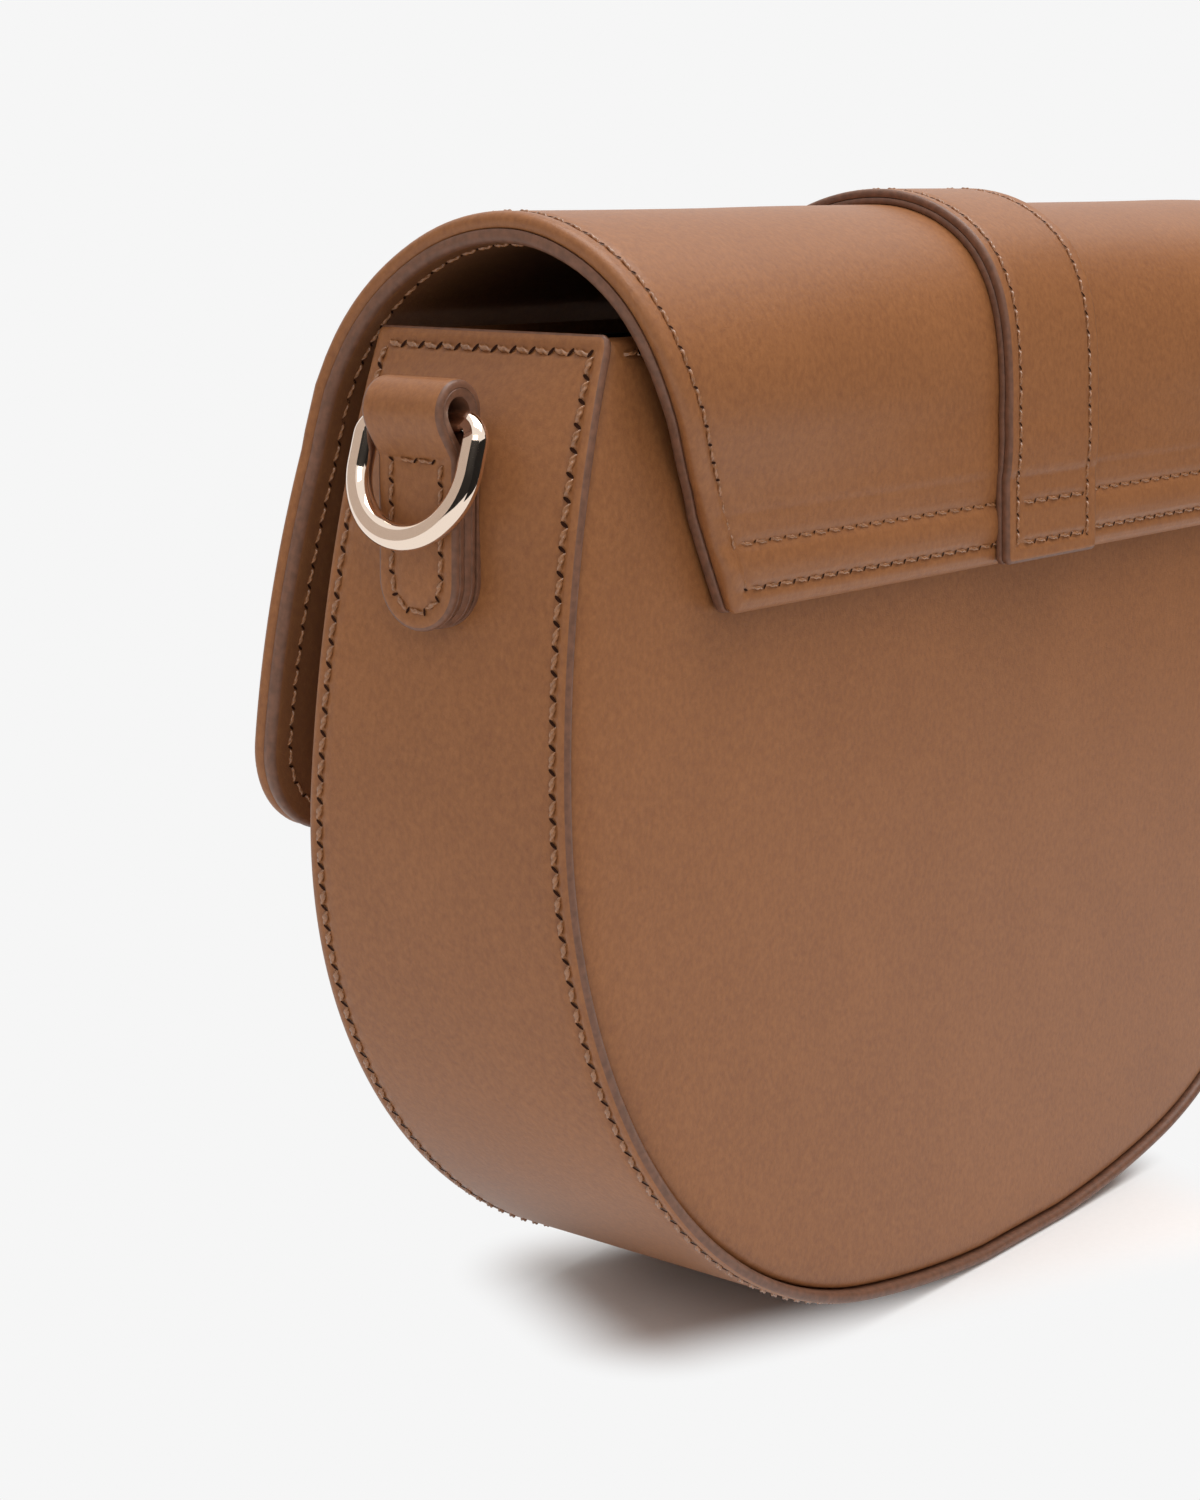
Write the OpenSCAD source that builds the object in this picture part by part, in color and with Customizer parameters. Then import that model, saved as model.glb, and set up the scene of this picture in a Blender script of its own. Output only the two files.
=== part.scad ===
// Small D-shaped crossbody bag in smooth leather: boxed shell, flap with a centre band,
// side tabs rolled round hanging D-rings, and a hidden magnetic snap.
// X runs across the bag, Y from its front to its back, Z up from the ground it stands on.

/* [Body] */
// Half of the body's widest width
half_w = 121.5; // [112:0.5:135]
// Height of the widest point above the ground
widest_z = 92.5; // [86:0.5:100]
// Rise from the base arc's lowest point to the corner arcs' lowest points
corner_rise = 3.1; // [2.2:0.1:5]
// How far the base is pressed flat where the bag stands
rest_sag = 0.3; // [0.15:0.05:0.5]
// How far each side leans in from the widest point to the mouth
mouth_lean = 11.5; // [7:0.5:15]
// Height of the mouth
mouth_z = 156.8; // [150:0.2:170]
// Depth of the body at the mouth
mouth_depth = 41.2; // [38:0.2:56]
// How much deeper the body is at the ground than at the mouth
base_spread = 13.7; // [8:0.1:18]

/* [Leather and boards] */
// Thickness of the gusset leather
gusset_t = 2; // [1.6:0.1:2.4]
// Thickness of the front and back panel leather
panel_t = 1.8; // [1.4:0.1:2.2]
// How far the panels lie inside the gusset's painted edges
panel_recess = 0.4; // [0.2:0.1:1]
// Width of the panel edge turned in under the gusset
turn_w = 8; // [6:0.5:12]
// Thickness of the stiffening boards
board_t = 1.2; // [0.8:0.1:1.6]
// Distance of the boards and linings below the mouth
lining_drop = 2; // [1:0.5:4]
// Thickness of the linings
lining_t = 0.8; // [0.6:0.1:1.2]

/* [Flap] */
// Thickness of the flap's outer leather
flap_t = 2.4; // [2:0.1:2.8]
// Thickness of the flap's lining leather
flap_lining_t = 2; // [1.6:0.1:2.4]
// Thickness of the board between them
flap_board_t = 0.8; // [0.6:0.1:1.2]
// Height of the flap's back edge below the mouth
back_edge_drop = 38.6; // [34:0.2:46]
// Height of the sewn strip at the flap's back edge, up to where it bends
seat_h = 14.3; // [12:0.1:17]
// How far each end of the flap's back edge lies inside the body's widest point
back_in = 34; // [30:0.5:40]
// The same where the flap clears the mouth
shoulder_in = 18; // [15.5:0.5:21]
// Height of that shoulder below the mouth
shoulder_drop = 7.8; // [5:0.2:10]
// The same at the top of the flap's arch
arch_in = 11.1; // [8.5:0.1:14]
// Rise of the arch above the mouth, up to the seam between leather and lining
arch_rise = 14.5; // [12:0.5:20]
// Distance of the arch's top behind the middle of the bag
arch_y = 2.5; // [1:0.5:4]
// Radius of the arch at the back
arch_back_r = 23.4; // [22:0.2:25]
// Radius of the arch at the front
arch_front_r = 32; // [30:0.5:34]
// Angle at which the flap's front hangs away from upright
front_lean = 6.5; // [5:0.5:8]
// The same at the widest part of the flap's front
front_in = 1.5; // [0:0.5:4.5]
// Height of that widest point below the mouth
front_widest_drop = 59.8; // [56:0.2:64]
// Height of the flap's lowest edge below the mouth
front_edge_drop = 79.8; // [76:0.2:86]
// Radius of the flap's front corners
front_corner_r = 15; // [11:0.5:18]
// Radius of the flap's front sides
front_side_r = 165; // [140:5:220]

/* [Centre band] */
// Width of the band over the flap
band_w = 28.8; // [22:0.2:36]
// Thickness of the band's face leather
band_t = 1.7; // [1.4:0.1:2]
// Thickness of the backing strip under it
band_backing_t = 1.6; // [1.2:0.1:2]
// How far the band reaches past the flap's back edge
band_over = 0.8; // [0:0.1:2]
// Distance of the band's front end above the flap's lowest edge
band_end_gap = 4; // [2:0.5:8]

/* [Ring tabs] */
// Width of the strip rolled round each ring's bar
strip_w = 13.6; // [11:0.2:14]
// Thickness of the strip's leather
strip_t = 1.7; // [1.5:0.1:2]
// Height of the ring's bar below the mouth
bar_drop = 10.8; // [9:0.2:14]
// Length of the tab from the bar down to its rounded tip
tab_len = 28.3; // [25:0.1:32]
// Distance of the fold between the strip's layers outside the body's widest point
fold_out = 1.7; // [1:0.1:3.5]
// How far the roll's slot reaches above the bar
slot_rise = 2.2; // [1:0.1:3]
// How far the backing stands out around the strip
backing_margin = 0.5; // [0.2:0.1:1]
// Height of the backing's top below the bar
backing_drop = 6.5; // [6:0.5:9]

/* [D-rings] */
// Clear width inside a ring
ring_inner_w = 15.6; // [15:0.1:18]
// Width of the ring's section, in the ring's plane
ring_section_w = 3.8; // [3.2:0.1:4.2]
// Depth of the ring's section, through the ring
ring_section_d = 3.2; // [2.8:0.1:3.6]
// Bevel along the section's edges
ring_bevel = 0.9; // [0.5:0.1:1.1]
// Distance from the bar's centre to the bow's outer edge
ring_reach = 18; // [17:0.1:22]
// Radius of the bar inside the roll
bar_r = 1.6; // [1.3:0.05:1.7]
// Clearance between the bar and the roll
bar_clear = 0.3; // [0.2:0.05:0.5]
// Gap between a ring and the tab that it rests on
ring_rest_gap = 0.3; // [0.2:0.05:0.5]

/* [Magnetic snap] */
// Radius of the socket and the stud
snap_r = 9; // [7:0.5:10]
// Height of the snap's centre below the mouth
snap_drop = 57.8; // [54:0.2:62]
// Gap between the closed halves
snap_gap = 0.4; // [0.3:0.1:0.6]
// Radius of the stud's nipple
nipple_r = 2; // [1.5:0.1:2.4]
// Height of the nipple
nipple_h = 1; // [0.6:0.1:1.2]
// Radius of the recess that takes the nipple
recess_r = 4.4; // [4.2:0.1:5]
// Radius of the rivet stems
stem_r = 2; // [1.5:0.1:2.5]
// Thickness of the snap's washers
washer_t = 0.6; // [0.4:0.1:0.6]

/* [Slip pocket] */
// Width of the pocket inside the back lining
pocket_w = 110; // [80:1:130]
// Height of the pocket
pocket_h = 72; // [50:1:80]
// Height of the pocket's mouth below the bag's mouth
pocket_drop = 22; // [16:1:30]
// Thickness of the pocket's leather
pocket_t = 0.8; // [0.6:0.1:1.2]
// Width of the pocket's sewn edges
pocket_seam_w = 6; // [4:0.5:10]
// Room inside the empty pocket
pocket_room = 0.8; // [0.5:0.1:1.5]

/* [Hidden] */
$fn = 96;
// Overrun of cuts past the faces that they cut
over = 1;
// Fitting gap between sewn or glued layers
fit = 0.1;
// Gap between the sewn and the moving part of the flap
hinge_gap = 0.3;
// Gap between the flap's lining and the back panel
seat_gap = 0.3;
// Slit between the two layers of a tab's strip
slit = 0.2;
// Clearance between a corner of the ring and the strip
shoulder_clear = 0.3;
// How far a straight stretch lies inside the arc it leaves, so that the two cross cleanly
tangent_dip = 0.002;

// The body's outline: one base arc, two corner arcs and two side arcs, each tangent to the next
corner_r = widest_z + rest_sag - corner_rise;
corner_x = half_w - corner_r;
base_r = corner_x * corner_x / (2 * corner_rise) + widest_z + rest_sag - corner_rise / 2;
side_rise = mouth_z - widest_z;
side_r = (side_rise * side_rise + mouth_lean * mouth_lean) / (2 * mouth_lean);

// Layers of the body, counted in from the gusset's face and from its painted edges
panel_in = gusset_t + fit;
lining_in = panel_in + panel_t + fit;
board_y_in = panel_recess + panel_t + fit;
lining_y_in = board_y_in + board_t + fit;
room_y_in = lining_y_in + lining_t;
lining_z = mouth_z - lining_drop;

// The flap's profile, along the seam between its leather and its lining
back_half_w = half_w - back_in;
shoulder_half_w = half_w - shoulder_in;
arch_half_w = half_w - arch_in;
front_half_w = half_w - front_in;
back_edge_z = mouth_z - back_edge_drop;
hinge_z = back_edge_z + seat_h;
arch_z = mouth_z + arch_rise;
arch_back_z = arch_z - arch_back_r;
arch_front_z = arch_z - arch_front_r;
// Height from which the flap keeps its width over the arch
arch_side_z = arch_z - flap_lining_t;
shoulder_z = mouth_z - shoulder_drop;
front_widest_z = mouth_z - front_widest_drop;
front_edge_z = mouth_z - front_edge_drop;
hinge_seam_y = face_y(hinge_z) + seat_gap + flap_lining_t;
// Direction of the straight stretch between the hinge and the arch, tangent to the arch
hinge_dy = hinge_seam_y - arch_y;
hinge_dz = hinge_z - arch_back_z;
hinge_reach = sqrt(hinge_dy * hinge_dy + hinge_dz * hinge_dz);
back_lean = -(atan2(hinge_dz, hinge_dy) + acos(arch_back_r / hinge_reach));
front_end_a = 180 - front_lean;

// The flap's front outline, built as the body's is
front_corner_x = front_half_w - front_corner_r;
front_rise = front_widest_z - front_edge_z - front_corner_r;
front_base_r = front_corner_x * front_corner_x / (2 * front_rise)
    + front_widest_z - front_edge_z - front_rise / 2;

// Layers over the flap, counted out from the seam
band_in = flap_t + fit;
band_face_in = band_in + band_backing_t + fit;
band_out = band_face_in + band_t;
board_margin = 3 * flap_t + flap_lining_t;

// Places of the tab, the ring and the snap
fold_x = half_w + fold_out;
bar_z = mouth_z - bar_drop;
slot_r = bar_r + bar_clear;
roll_r = slot_r + strip_t;
tip_z = bar_z - tab_len;
bow_r = ring_inner_w / 2 + ring_section_w / 2;
bow_drop = ring_reach - ring_inner_w / 2 - ring_section_w;
bend_in_r = (ring_inner_w - strip_w) / 2 - shoulder_clear;
bend_r = bend_in_r + ring_section_w / 2;
// The ring leans out until the bevel inside its bow meets the strip's edge
lean_reach = bow_drop + sqrt(pow(ring_inner_w / 2 + ring_bevel, 2) - pow(strip_w / 2, 2));
ring_tilt = atan2(ring_section_d / 2, lean_reach)
    + asin((strip_t + ring_rest_gap) / norm([lean_reach, ring_section_d / 2]));
snap_z = mouth_z - snap_drop;
snap_face_y = (face_y(snap_z) + front_seam_y(snap_z) - flap_lining_t) / 2;

// Half of the body's depth at a height
function half_depth(z) = mouth_depth / 2 + base_spread / 2 * (1 - z / mouth_z);
// Distance of a panel's outer face from the bag's middle at a height
function face_y(z) = half_depth(z) - panel_recess;
// Distance of the seam in the flap's front from the bag's middle at a height
function front_seam_y(z) = arch_front_r * cos(front_lean) - arch_y
    + (arch_front_z + arch_front_r * sin(front_lean) - z) * tan(front_lean);

// A drawing in X and Z, extruded from y0 to y1
module across_y(y0, y1) {
    translate([0, y1, 0])
        rotate([90, 0, 0])
            linear_extrude(height = y1 - y0)
                children();
}

// A drawing in Y and Z, extruded from x0 to x1
module along_x(x0, x1) {
    translate([x0, 0, 0])
        rotate([90, 0, 90])
            linear_extrude(height = x1 - x0)
                children();
}

// Area inside a base arc, two corner arcs and two side arcs, drawn in by inset.
// low_z is the base arc's lowest point, and the sides end at top_z.
module arc_area(half, wide_z, low_z, corner, base, side, top_z, inset) {
    cx = half - corner;
    cz = low_z + base;
    base_a = atan2(cx, cz - wide_z);
    foot_x = (base + over) * tan(base_a);
    intersection() {
        translate([0, cz])
            circle(r = base - inset - tangent_dip, $fn = 360);
        polygon([[-cx, wide_z], [-foot_x, low_z - over], [foot_x, low_z - over], [cx, wide_z]]);
    }
    for (s = [-1, 1])
        intersection() {
            translate([s * cx, wide_z])
                circle(r = corner - inset, $fn = 180);
            translate([-half, low_z - over])
                square([2 * half, wide_z - low_z + 2 * over]);
        }
    intersection() {
        lens_area(half - side, wide_z, side - inset - tangent_dip);
        translate([-half, wide_z])
            square([2 * half, top_z - wide_z]);
    }
}

// What two mirrored circles of one radius have in common
module lens_area(cx, cz, r) {
    intersection() {
        translate([cx, cz])
            circle(r = r, $fn = 360);
        translate([-cx, cz])
            circle(r = r, $fn = 360);
    }
}

// The body's outline drawn in by inset, as a block through the whole depth
module body_block(inset, top_z) {
    across_y(-mouth_depth - base_spread, mouth_depth + base_spread)
        arc_area(half_w, widest_z, -rest_sag, corner_r, base_r, side_r, top_z, inset);
}

// What lies between the back face drawn in by y_in and by y_in_end
module back_slab(y_in, y_in_end) {
    low = -over;
    high = mouth_z + over;
    along_x(-half_w - over, half_w + over)
        polygon([
            [half_depth(low) - y_in_end, low], [half_depth(low) - y_in, low],
            [half_depth(high) - y_in, high], [half_depth(high) - y_in_end, high]
        ]);
}

// What lies between both faces, drawn in by y_in
module depth_wedge(y_in) {
    low = -over;
    high = mouth_z + over;
    along_x(-half_w - over, half_w + over)
        polygon([
            [y_in - half_depth(low), low], [half_depth(low) - y_in, low],
            [half_depth(high) - y_in, high], [y_in - half_depth(high), high]
        ]);
}

// A layer that follows the body's outline, from inset in_0 to in_1
module wrap_layer(in_0, in_1, y_in, top_z) {
    intersection() {
        difference() {
            body_block(in_0, top_z);
            body_block(in_1, top_z + over);
        }
        depth_wedge(y_in);
        ground_block();
    }
}

// Everything above the ground
module ground_block() {
    translate([-half_w - over, -mouth_depth - base_spread, 0])
        cube([2 * (half_w + over), 2 * (mouth_depth + base_spread), mouth_z + over]);
}

module to_front() {
    mirror([0, 1, 0])
        children();
}

module to_left() {
    mirror([1, 0, 0])
        children();
}

module gusset() {
    color("#9a6a48")
        wrap_layer(0, gusset_t, 0, mouth_z);
}

module gusset_board() {
    color("#5a4636")
        wrap_layer(panel_in, panel_in + board_t, panel_recess + turn_w + fit, lining_z);
}

module gusset_lining() {
    color("#3a2c22")
        wrap_layer(lining_in, lining_in + lining_t, room_y_in + fit, lining_z);
}

// A panel with its edge turned in along the gusset, open at the mouth
module panel() {
    difference() {
        intersection() {
            body_block(panel_in, mouth_z);
            back_slab(panel_recess, panel_recess + turn_w);
        }
        intersection() {
            body_block(panel_in + panel_t, mouth_z + over);
            back_slab(panel_recess + panel_t, panel_recess + turn_w + over);
        }
    }
}

module back_panel() {
    color("#9c6b44")
        panel();
}

module front_panel() {
    color("#9c6b44")
        difference() {
            to_front()
                panel();
            snap_stem_hole();
        }
}

module panel_board() {
    intersection() {
        body_block(lining_in, lining_z);
        back_slab(board_y_in, board_y_in + board_t);
    }
}

module back_board() {
    color("#5a4636")
        panel_board();
}

module front_board() {
    color("#5a4636")
        difference() {
            to_front()
                panel_board();
            snap_cylinder(-half_depth(0), 0, snap_r + fit);
        }
}

module panel_lining() {
    intersection() {
        body_block(lining_in, lining_z);
        back_slab(lining_y_in, room_y_in);
    }
}

module back_lining() {
    color("#3a2c22")
        panel_lining();
}

module front_lining() {
    color("#3a2c22")
        to_front()
            panel_lining();
}

// A flat pocket sewn to the back lining along its sides and foot
module slip_pocket() {
    pocket_top = mouth_z - pocket_drop;
    pocket_in = room_y_in + fit;
    color("#4a382b")
        difference() {
            intersection() {
                back_slab(pocket_in, pocket_in + pocket_room + pocket_t);
                pocket_box(pocket_w, pocket_h, pocket_top);
            }
            intersection() {
                back_slab(pocket_in - over, pocket_in + pocket_room);
                pocket_box(pocket_w - 2 * pocket_seam_w, pocket_h - pocket_seam_w + over,
                    pocket_top + over);
            }
        }
}

module pocket_box(w, h, top_z) {
    translate([-w / 2, 0, top_z - h])
        cube([w, half_depth(0), h]);
}

// Area between two distances out from the seam, along the sewn strip at the flap's back
module seat_area(out_0, out_1, low_z) {
    y_base = seat_gap + flap_lining_t - panel_recess;
    polygon([
        [half_depth(low_z) + y_base + out_0, low_z],
        [half_depth(low_z) + y_base + out_1, low_z],
        [half_depth(hinge_z) + y_base + out_1, hinge_z - hinge_gap / 2],
        [half_depth(hinge_z) + y_base + out_0, hinge_z - hinge_gap / 2]
    ]);
}

// Area inside the moving flap, out to a distance from the seam
module flap_inside(out) {
    far = 3 * arch_front_r;
    intersection() {
        union() {
            translate([arch_y, arch_back_z])
                circle(r = arch_back_r + out, $fn = 180);
            translate([arch_y, arch_back_z])
                rotate(-back_lean)
                    translate([0, -far])
                        square([arch_back_r + out - tangent_dip, far]);
        }
        translate([arch_y, 0])
            square([far, arch_z + far]);
    }
    intersection() {
        translate([arch_y, arch_front_z])
            circle(r = arch_front_r + out, $fn = 180);
        translate([arch_y - far, arch_front_z])
            square([far, far]);
    }
    intersection() {
        translate([arch_y, arch_front_z])
            rotate(front_end_a)
                square([arch_front_r + out - tangent_dip, far]);
        translate([arch_y - far, 0])
            square([far, arch_z]);
    }
}

// Area between two distances out from the seam, along the flap from its hinge to its front edge
module flap_area(out_0, out_1, end_z) {
    far = 3 * arch_front_r;
    intersection() {
        difference() {
            flap_inside(out_1);
            flap_inside(out_0);
        }
        union() {
            translate([arch_y, hinge_z + hinge_gap / 2])
                square([far, arch_z]);
            translate([arch_y - far, end_z])
                square([far, arch_z]);
        }
    }
}

// The flap's side outline behind the top of its arch
module flap_back_outline() {
    mid_x = (shoulder_half_w + 2 * arch_half_w) / 3;
    mid_z = (shoulder_z + arch_side_z) / 2;
    across_y(arch_y, 3 * arch_front_r)
        polygon([
            [-back_half_w, back_edge_z], [back_half_w, back_edge_z],
            [shoulder_half_w, shoulder_z], [mid_x, mid_z],
            [arch_half_w, arch_side_z], [arch_half_w, arch_z + 2 * flap_t],
            [-arch_half_w, arch_z + 2 * flap_t], [-arch_half_w, arch_side_z],
            [-mid_x, mid_z], [-shoulder_half_w, shoulder_z]
        ]);
}

// The flap's side outline before the top of its arch, drawn in by inset
module flap_front_outline(inset) {
    upper_x = front_half_w - front_side_r - inset
        + sqrt(front_side_r * front_side_r - pow(arch_front_z - front_widest_z, 2));
    top_x = arch_half_w - inset;
    // The side's straight upper stretch goes on below its crossing with the side arc
    run_z = front_corner_r;
    run_x = run_z * (upper_x - top_x) / (arch_side_z - arch_front_z);
    across_y(-3 * arch_front_r, arch_y) {
        arc_area(front_half_w, front_widest_z, front_edge_z, front_corner_r, front_base_r,
            front_side_r, arch_side_z, inset);
        polygon([
            [-upper_x - run_x, arch_front_z - run_z], [upper_x + run_x, arch_front_z - run_z],
            [top_x, arch_side_z], [top_x, arch_z + 2 * flap_t],
            [-top_x, arch_z + 2 * flap_t], [-top_x, arch_side_z]
        ]);
    }
}

// A layer of the moving flap, cut to the flap's outline
module flap_layer(out_0, out_1) {
    intersection() {
        along_x(-front_half_w, front_half_w)
            flap_area(out_0, out_1, front_edge_z);
        union() {
            flap_back_outline();
            flap_front_outline(0);
        }
    }
}

// A layer of the sewn strip, cut to the flap's outline
module seat_layer(out_0, out_1) {
    intersection() {
        along_x(-front_half_w, front_half_w)
            seat_area(out_0, out_1, back_edge_z);
        flap_back_outline();
    }
}

module flap_seat() {
    color("#9a6a45")
        seat_layer(0, flap_t);
}

module flap_seat_lining() {
    color("#7c5744")
        seat_layer(-flap_lining_t, 0);
}

module flap_outer() {
    color("#9a6a45")
        difference() {
            flap_layer(0, flap_t);
            board_block(-over, flap_board_t + fit, fit);
        }
}

module flap_lining() {
    color("#7c5744")
        difference() {
            flap_layer(-flap_lining_t, 0);
            snap_cylinder(-3 * arch_front_r, 0, stem_r + fit);
        }
}

// Block between two distances out from the seam, in the straight front of the flap
module board_block(out_0, out_1, grow) {
    intersection() {
        along_x(-front_half_w, front_half_w)
            intersection() {
                flap_area(out_0, out_1, front_edge_z);
                translate([-3 * arch_front_r, front_edge_z])
                    square([3 * arch_front_r, arch_front_z - front_edge_z - board_margin + grow]);
            }
        flap_front_outline(board_margin - grow);
    }
}

module flap_board() {
    color("#5a4636")
        difference() {
            board_block(fit / 2, flap_board_t, 0);
            snap_cylinder(-3 * arch_front_r, 0, snap_r + fit);
        }
}

// The band's outline seen from the front, with a rounded front end
module band_front_outline() {
    end_z = front_edge_z + band_end_gap;
    across_y(-3 * arch_front_r, arch_y) {
        translate([0, end_z + band_w / 2])
            circle(d = band_w);
        translate([-band_w / 2, end_z + band_w / 2])
            square([band_w, arch_z + 4 * flap_t - end_z - band_w / 2]);
    }
}

module band_layer(out_0, out_1) {
    intersection() {
        along_x(-band_w / 2, band_w / 2)
            flap_area(out_0, out_1, front_edge_z);
        union() {
            band_front_outline();
            translate([-band_w / 2, arch_y, 0])
                cube([band_w, 3 * arch_front_r, arch_z + 4 * flap_t]);
        }
    }
}

module centre_band() {
    color("#94623f")
        band_layer(band_face_in, band_out);
}

module band_backing() {
    color("#6d4a3a")
        band_layer(band_in, band_face_in - fit);
}

module band_seat() {
    color("#94623f")
        along_x(-band_w / 2, band_w / 2)
            seat_area(band_face_in, band_out, back_edge_z - band_over);
}

module band_seat_backing() {
    color("#6d4a3a")
        along_x(-band_w / 2, band_w / 2)
            seat_area(band_in, band_face_in - fit, back_edge_z - band_over);
}

// Outline of a tab seen from the side, with a round tip
module tab_outline(grow, top_z) {
    along_x(0, half_w + 3 * roll_r) {
        translate([0, tip_z + strip_w / 2])
            circle(d = strip_w + 2 * grow);
        translate([-strip_w / 2 - grow, tip_z + strip_w / 2])
            square([strip_w + 2 * grow, top_z - tip_z - strip_w / 2]);
    }
}

// A slot with round ends about the bar
module slot_area(r) {
    translate([fold_x, bar_z])
        circle(r = r);
    translate([fold_x, bar_z + slot_rise])
        circle(r = r);
    translate([fold_x - r, bar_z])
        square([2 * r, slot_rise]);
}

// A strip folded in two and rolled round the ring's bar
module tab_strip() {
    intersection() {
        across_y(-strip_w / 2, strip_w / 2)
            difference() {
                union() {
                    slot_area(roll_r);
                    translate([fold_x - strip_t, tip_z])
                        square([2 * strip_t, bar_z - tip_z]);
                }
                slot_area(slot_r);
                translate([fold_x - slit / 2, tip_z - over])
                    square([slit, bar_z - tip_z]);
            }
        tab_outline(0, bar_z + slot_rise + 2 * roll_r);
    }
}

module tab_strip_right() {
    color("#95664a")
        tab_strip();
}

module tab_strip_left() {
    color("#95664a")
        to_left()
            tab_strip();
}

// Packing between the gusset's curved side and the upright strip
module tab_backing() {
    difference() {
        intersection() {
            tab_outline(backing_margin, bar_z - backing_drop);
            translate([corner_x, -strip_w, 0])
                cube([fold_x - strip_t - fit - corner_x, 2 * strip_w, mouth_z]);
        }
        body_block(-fit, mouth_z);
    }
}

module tab_backing_right() {
    color("#7c5744")
        tab_backing();
}

module tab_backing_left() {
    color("#7c5744")
        to_left()
            tab_backing();
}

// The ring's bevelled section, across its width and through its depth
module ring_section() {
    w = ring_section_w / 2;
    d = ring_section_d / 2;
    polygon([
        [w, bevel_in(d)], [bevel_in(w), d], [-bevel_in(w), d], [-w, bevel_in(d)],
        [-w, -bevel_in(d)], [-bevel_in(w), -d], [bevel_in(w), -d], [w, -bevel_in(d)]
    ]);
}

function bevel_in(half) = half - ring_bevel;

// A ring hanging from its bar at the origin, the bar along Y and the bow down
module ring_at_bar() {
    rotate([0, 90, 0])
        rotate([0, 0, -90])
            translate([0, bow_drop, 0])
                rotate_extrude(angle = 180)
                    translate([bow_r, 0])
                        ring_section();
    for (s = [-1, 1]) {
        translate([0, s * bow_r, -bow_drop])
            linear_extrude(height = bow_drop - bend_r)
                rotate(90)
                    ring_section();
        mirror([0, s < 0 ? 1 : 0, 0])
            translate([0, bow_r - bend_r, -bend_r])
                rotate([0, 90, 0])
                    rotate([0, 0, 90])
                        rotate_extrude(angle = 90)
                            translate([bend_r, 0])
                                ring_section();
    }
    rotate([90, 0, 0])
        cylinder(r = bar_r, h = 2 * (bow_r - bend_r) + 2 * fit, center = true);
}

module d_ring() {
    translate([fold_x, 0, bar_z])
        rotate([0, -ring_tilt, 0])
            ring_at_bar();
}

module d_ring_right() {
    color("#e3cfa6")
        d_ring();
}

module d_ring_left() {
    color("#e3cfa6")
        to_left()
            d_ring();
}

// A cylinder along Y about the snap's centre
module snap_cylinder(y0, y1, r) {
    translate([0, y1, snap_z])
        rotate([90, 0, 0])
            cylinder(r = r, h = y1 - y0);
}

module snap_stem_hole() {
    snap_cylinder(-mouth_depth - base_spread, 0, stem_r + fit);
}

// The half on the front panel, with a recess for the nipple and a stem into its washer
module snap_socket() {
    meet_y = -snap_face_y;
    color("#d9c79c") {
        difference() {
            snap_cylinder(meet_y + snap_gap / 2, 0, snap_r);
            depth_wedge(panel_recess);
            snap_cylinder(meet_y - over, meet_y + snap_gap / 2 + nipple_h + fit, recess_r);
        }
        difference() {
            snap_cylinder(-face_y(snap_z) - fit, -face_y(snap_z) + panel_t + fit, stem_r);
            depth_wedge(board_y_in);
        }
    }
}

module snap_socket_washer() {
    color("#c8b78f")
        intersection() {
            snap_cylinder(-half_depth(0), 0, snap_r);
            to_front()
                back_slab(board_y_in, board_y_in + washer_t);
        }
}

// The half on the flap
module snap_stud() {
    meet_y = -snap_face_y;
    color("#d9c79c") {
        difference() {
            snap_cylinder(-3 * arch_front_r, meet_y - snap_gap / 2, snap_r);
            along_x(-front_half_w, front_half_w)
                flap_front_mask(-flap_lining_t - fit);
        }
        intersection() {
            snap_cylinder(-3 * arch_front_r, meet_y - snap_gap / 2, stem_r);
            along_x(-front_half_w, front_half_w)
                flap_area(-flap_lining_t - over, 0, front_edge_z);
        }
        snap_cylinder(meet_y - snap_gap / 2, meet_y - snap_gap / 2 + nipple_h, nipple_r);
    }
}

// Everything further out than a distance from the seam of the flap's straight front
module flap_front_mask(out_0) {
    translate([arch_y, arch_front_z])
        rotate(front_end_a)
            translate([arch_front_r + out_0 - tangent_dip, -arch_front_r])
                square([3 * arch_front_r, 6 * arch_front_r]);
}

module snap_stud_washer() {
    color("#c8b78f")
        intersection() {
            snap_cylinder(-3 * arch_front_r, 0, snap_r);
            along_x(-front_half_w, front_half_w)
                flap_area(fit, fit + washer_t, front_edge_z);
        }
}

gusset();
back_panel();
front_panel();
gusset_board();
back_board();
front_board();
gusset_lining();
back_lining();
front_lining();
slip_pocket();
flap_seat();
flap_seat_lining();
band_seat();
band_seat_backing();
tab_backing_right();
tab_backing_left();
tab_strip_right();
tab_strip_left();
snap_socket();
snap_socket_washer();
flap_outer();
flap_lining();
flap_board();
centre_band();
band_backing();
snap_stud();
snap_stud_washer();
d_ring_right();
d_ring_left();
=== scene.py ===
import math

import bmesh
import bpy
from mathutils import Matrix, Vector


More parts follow.
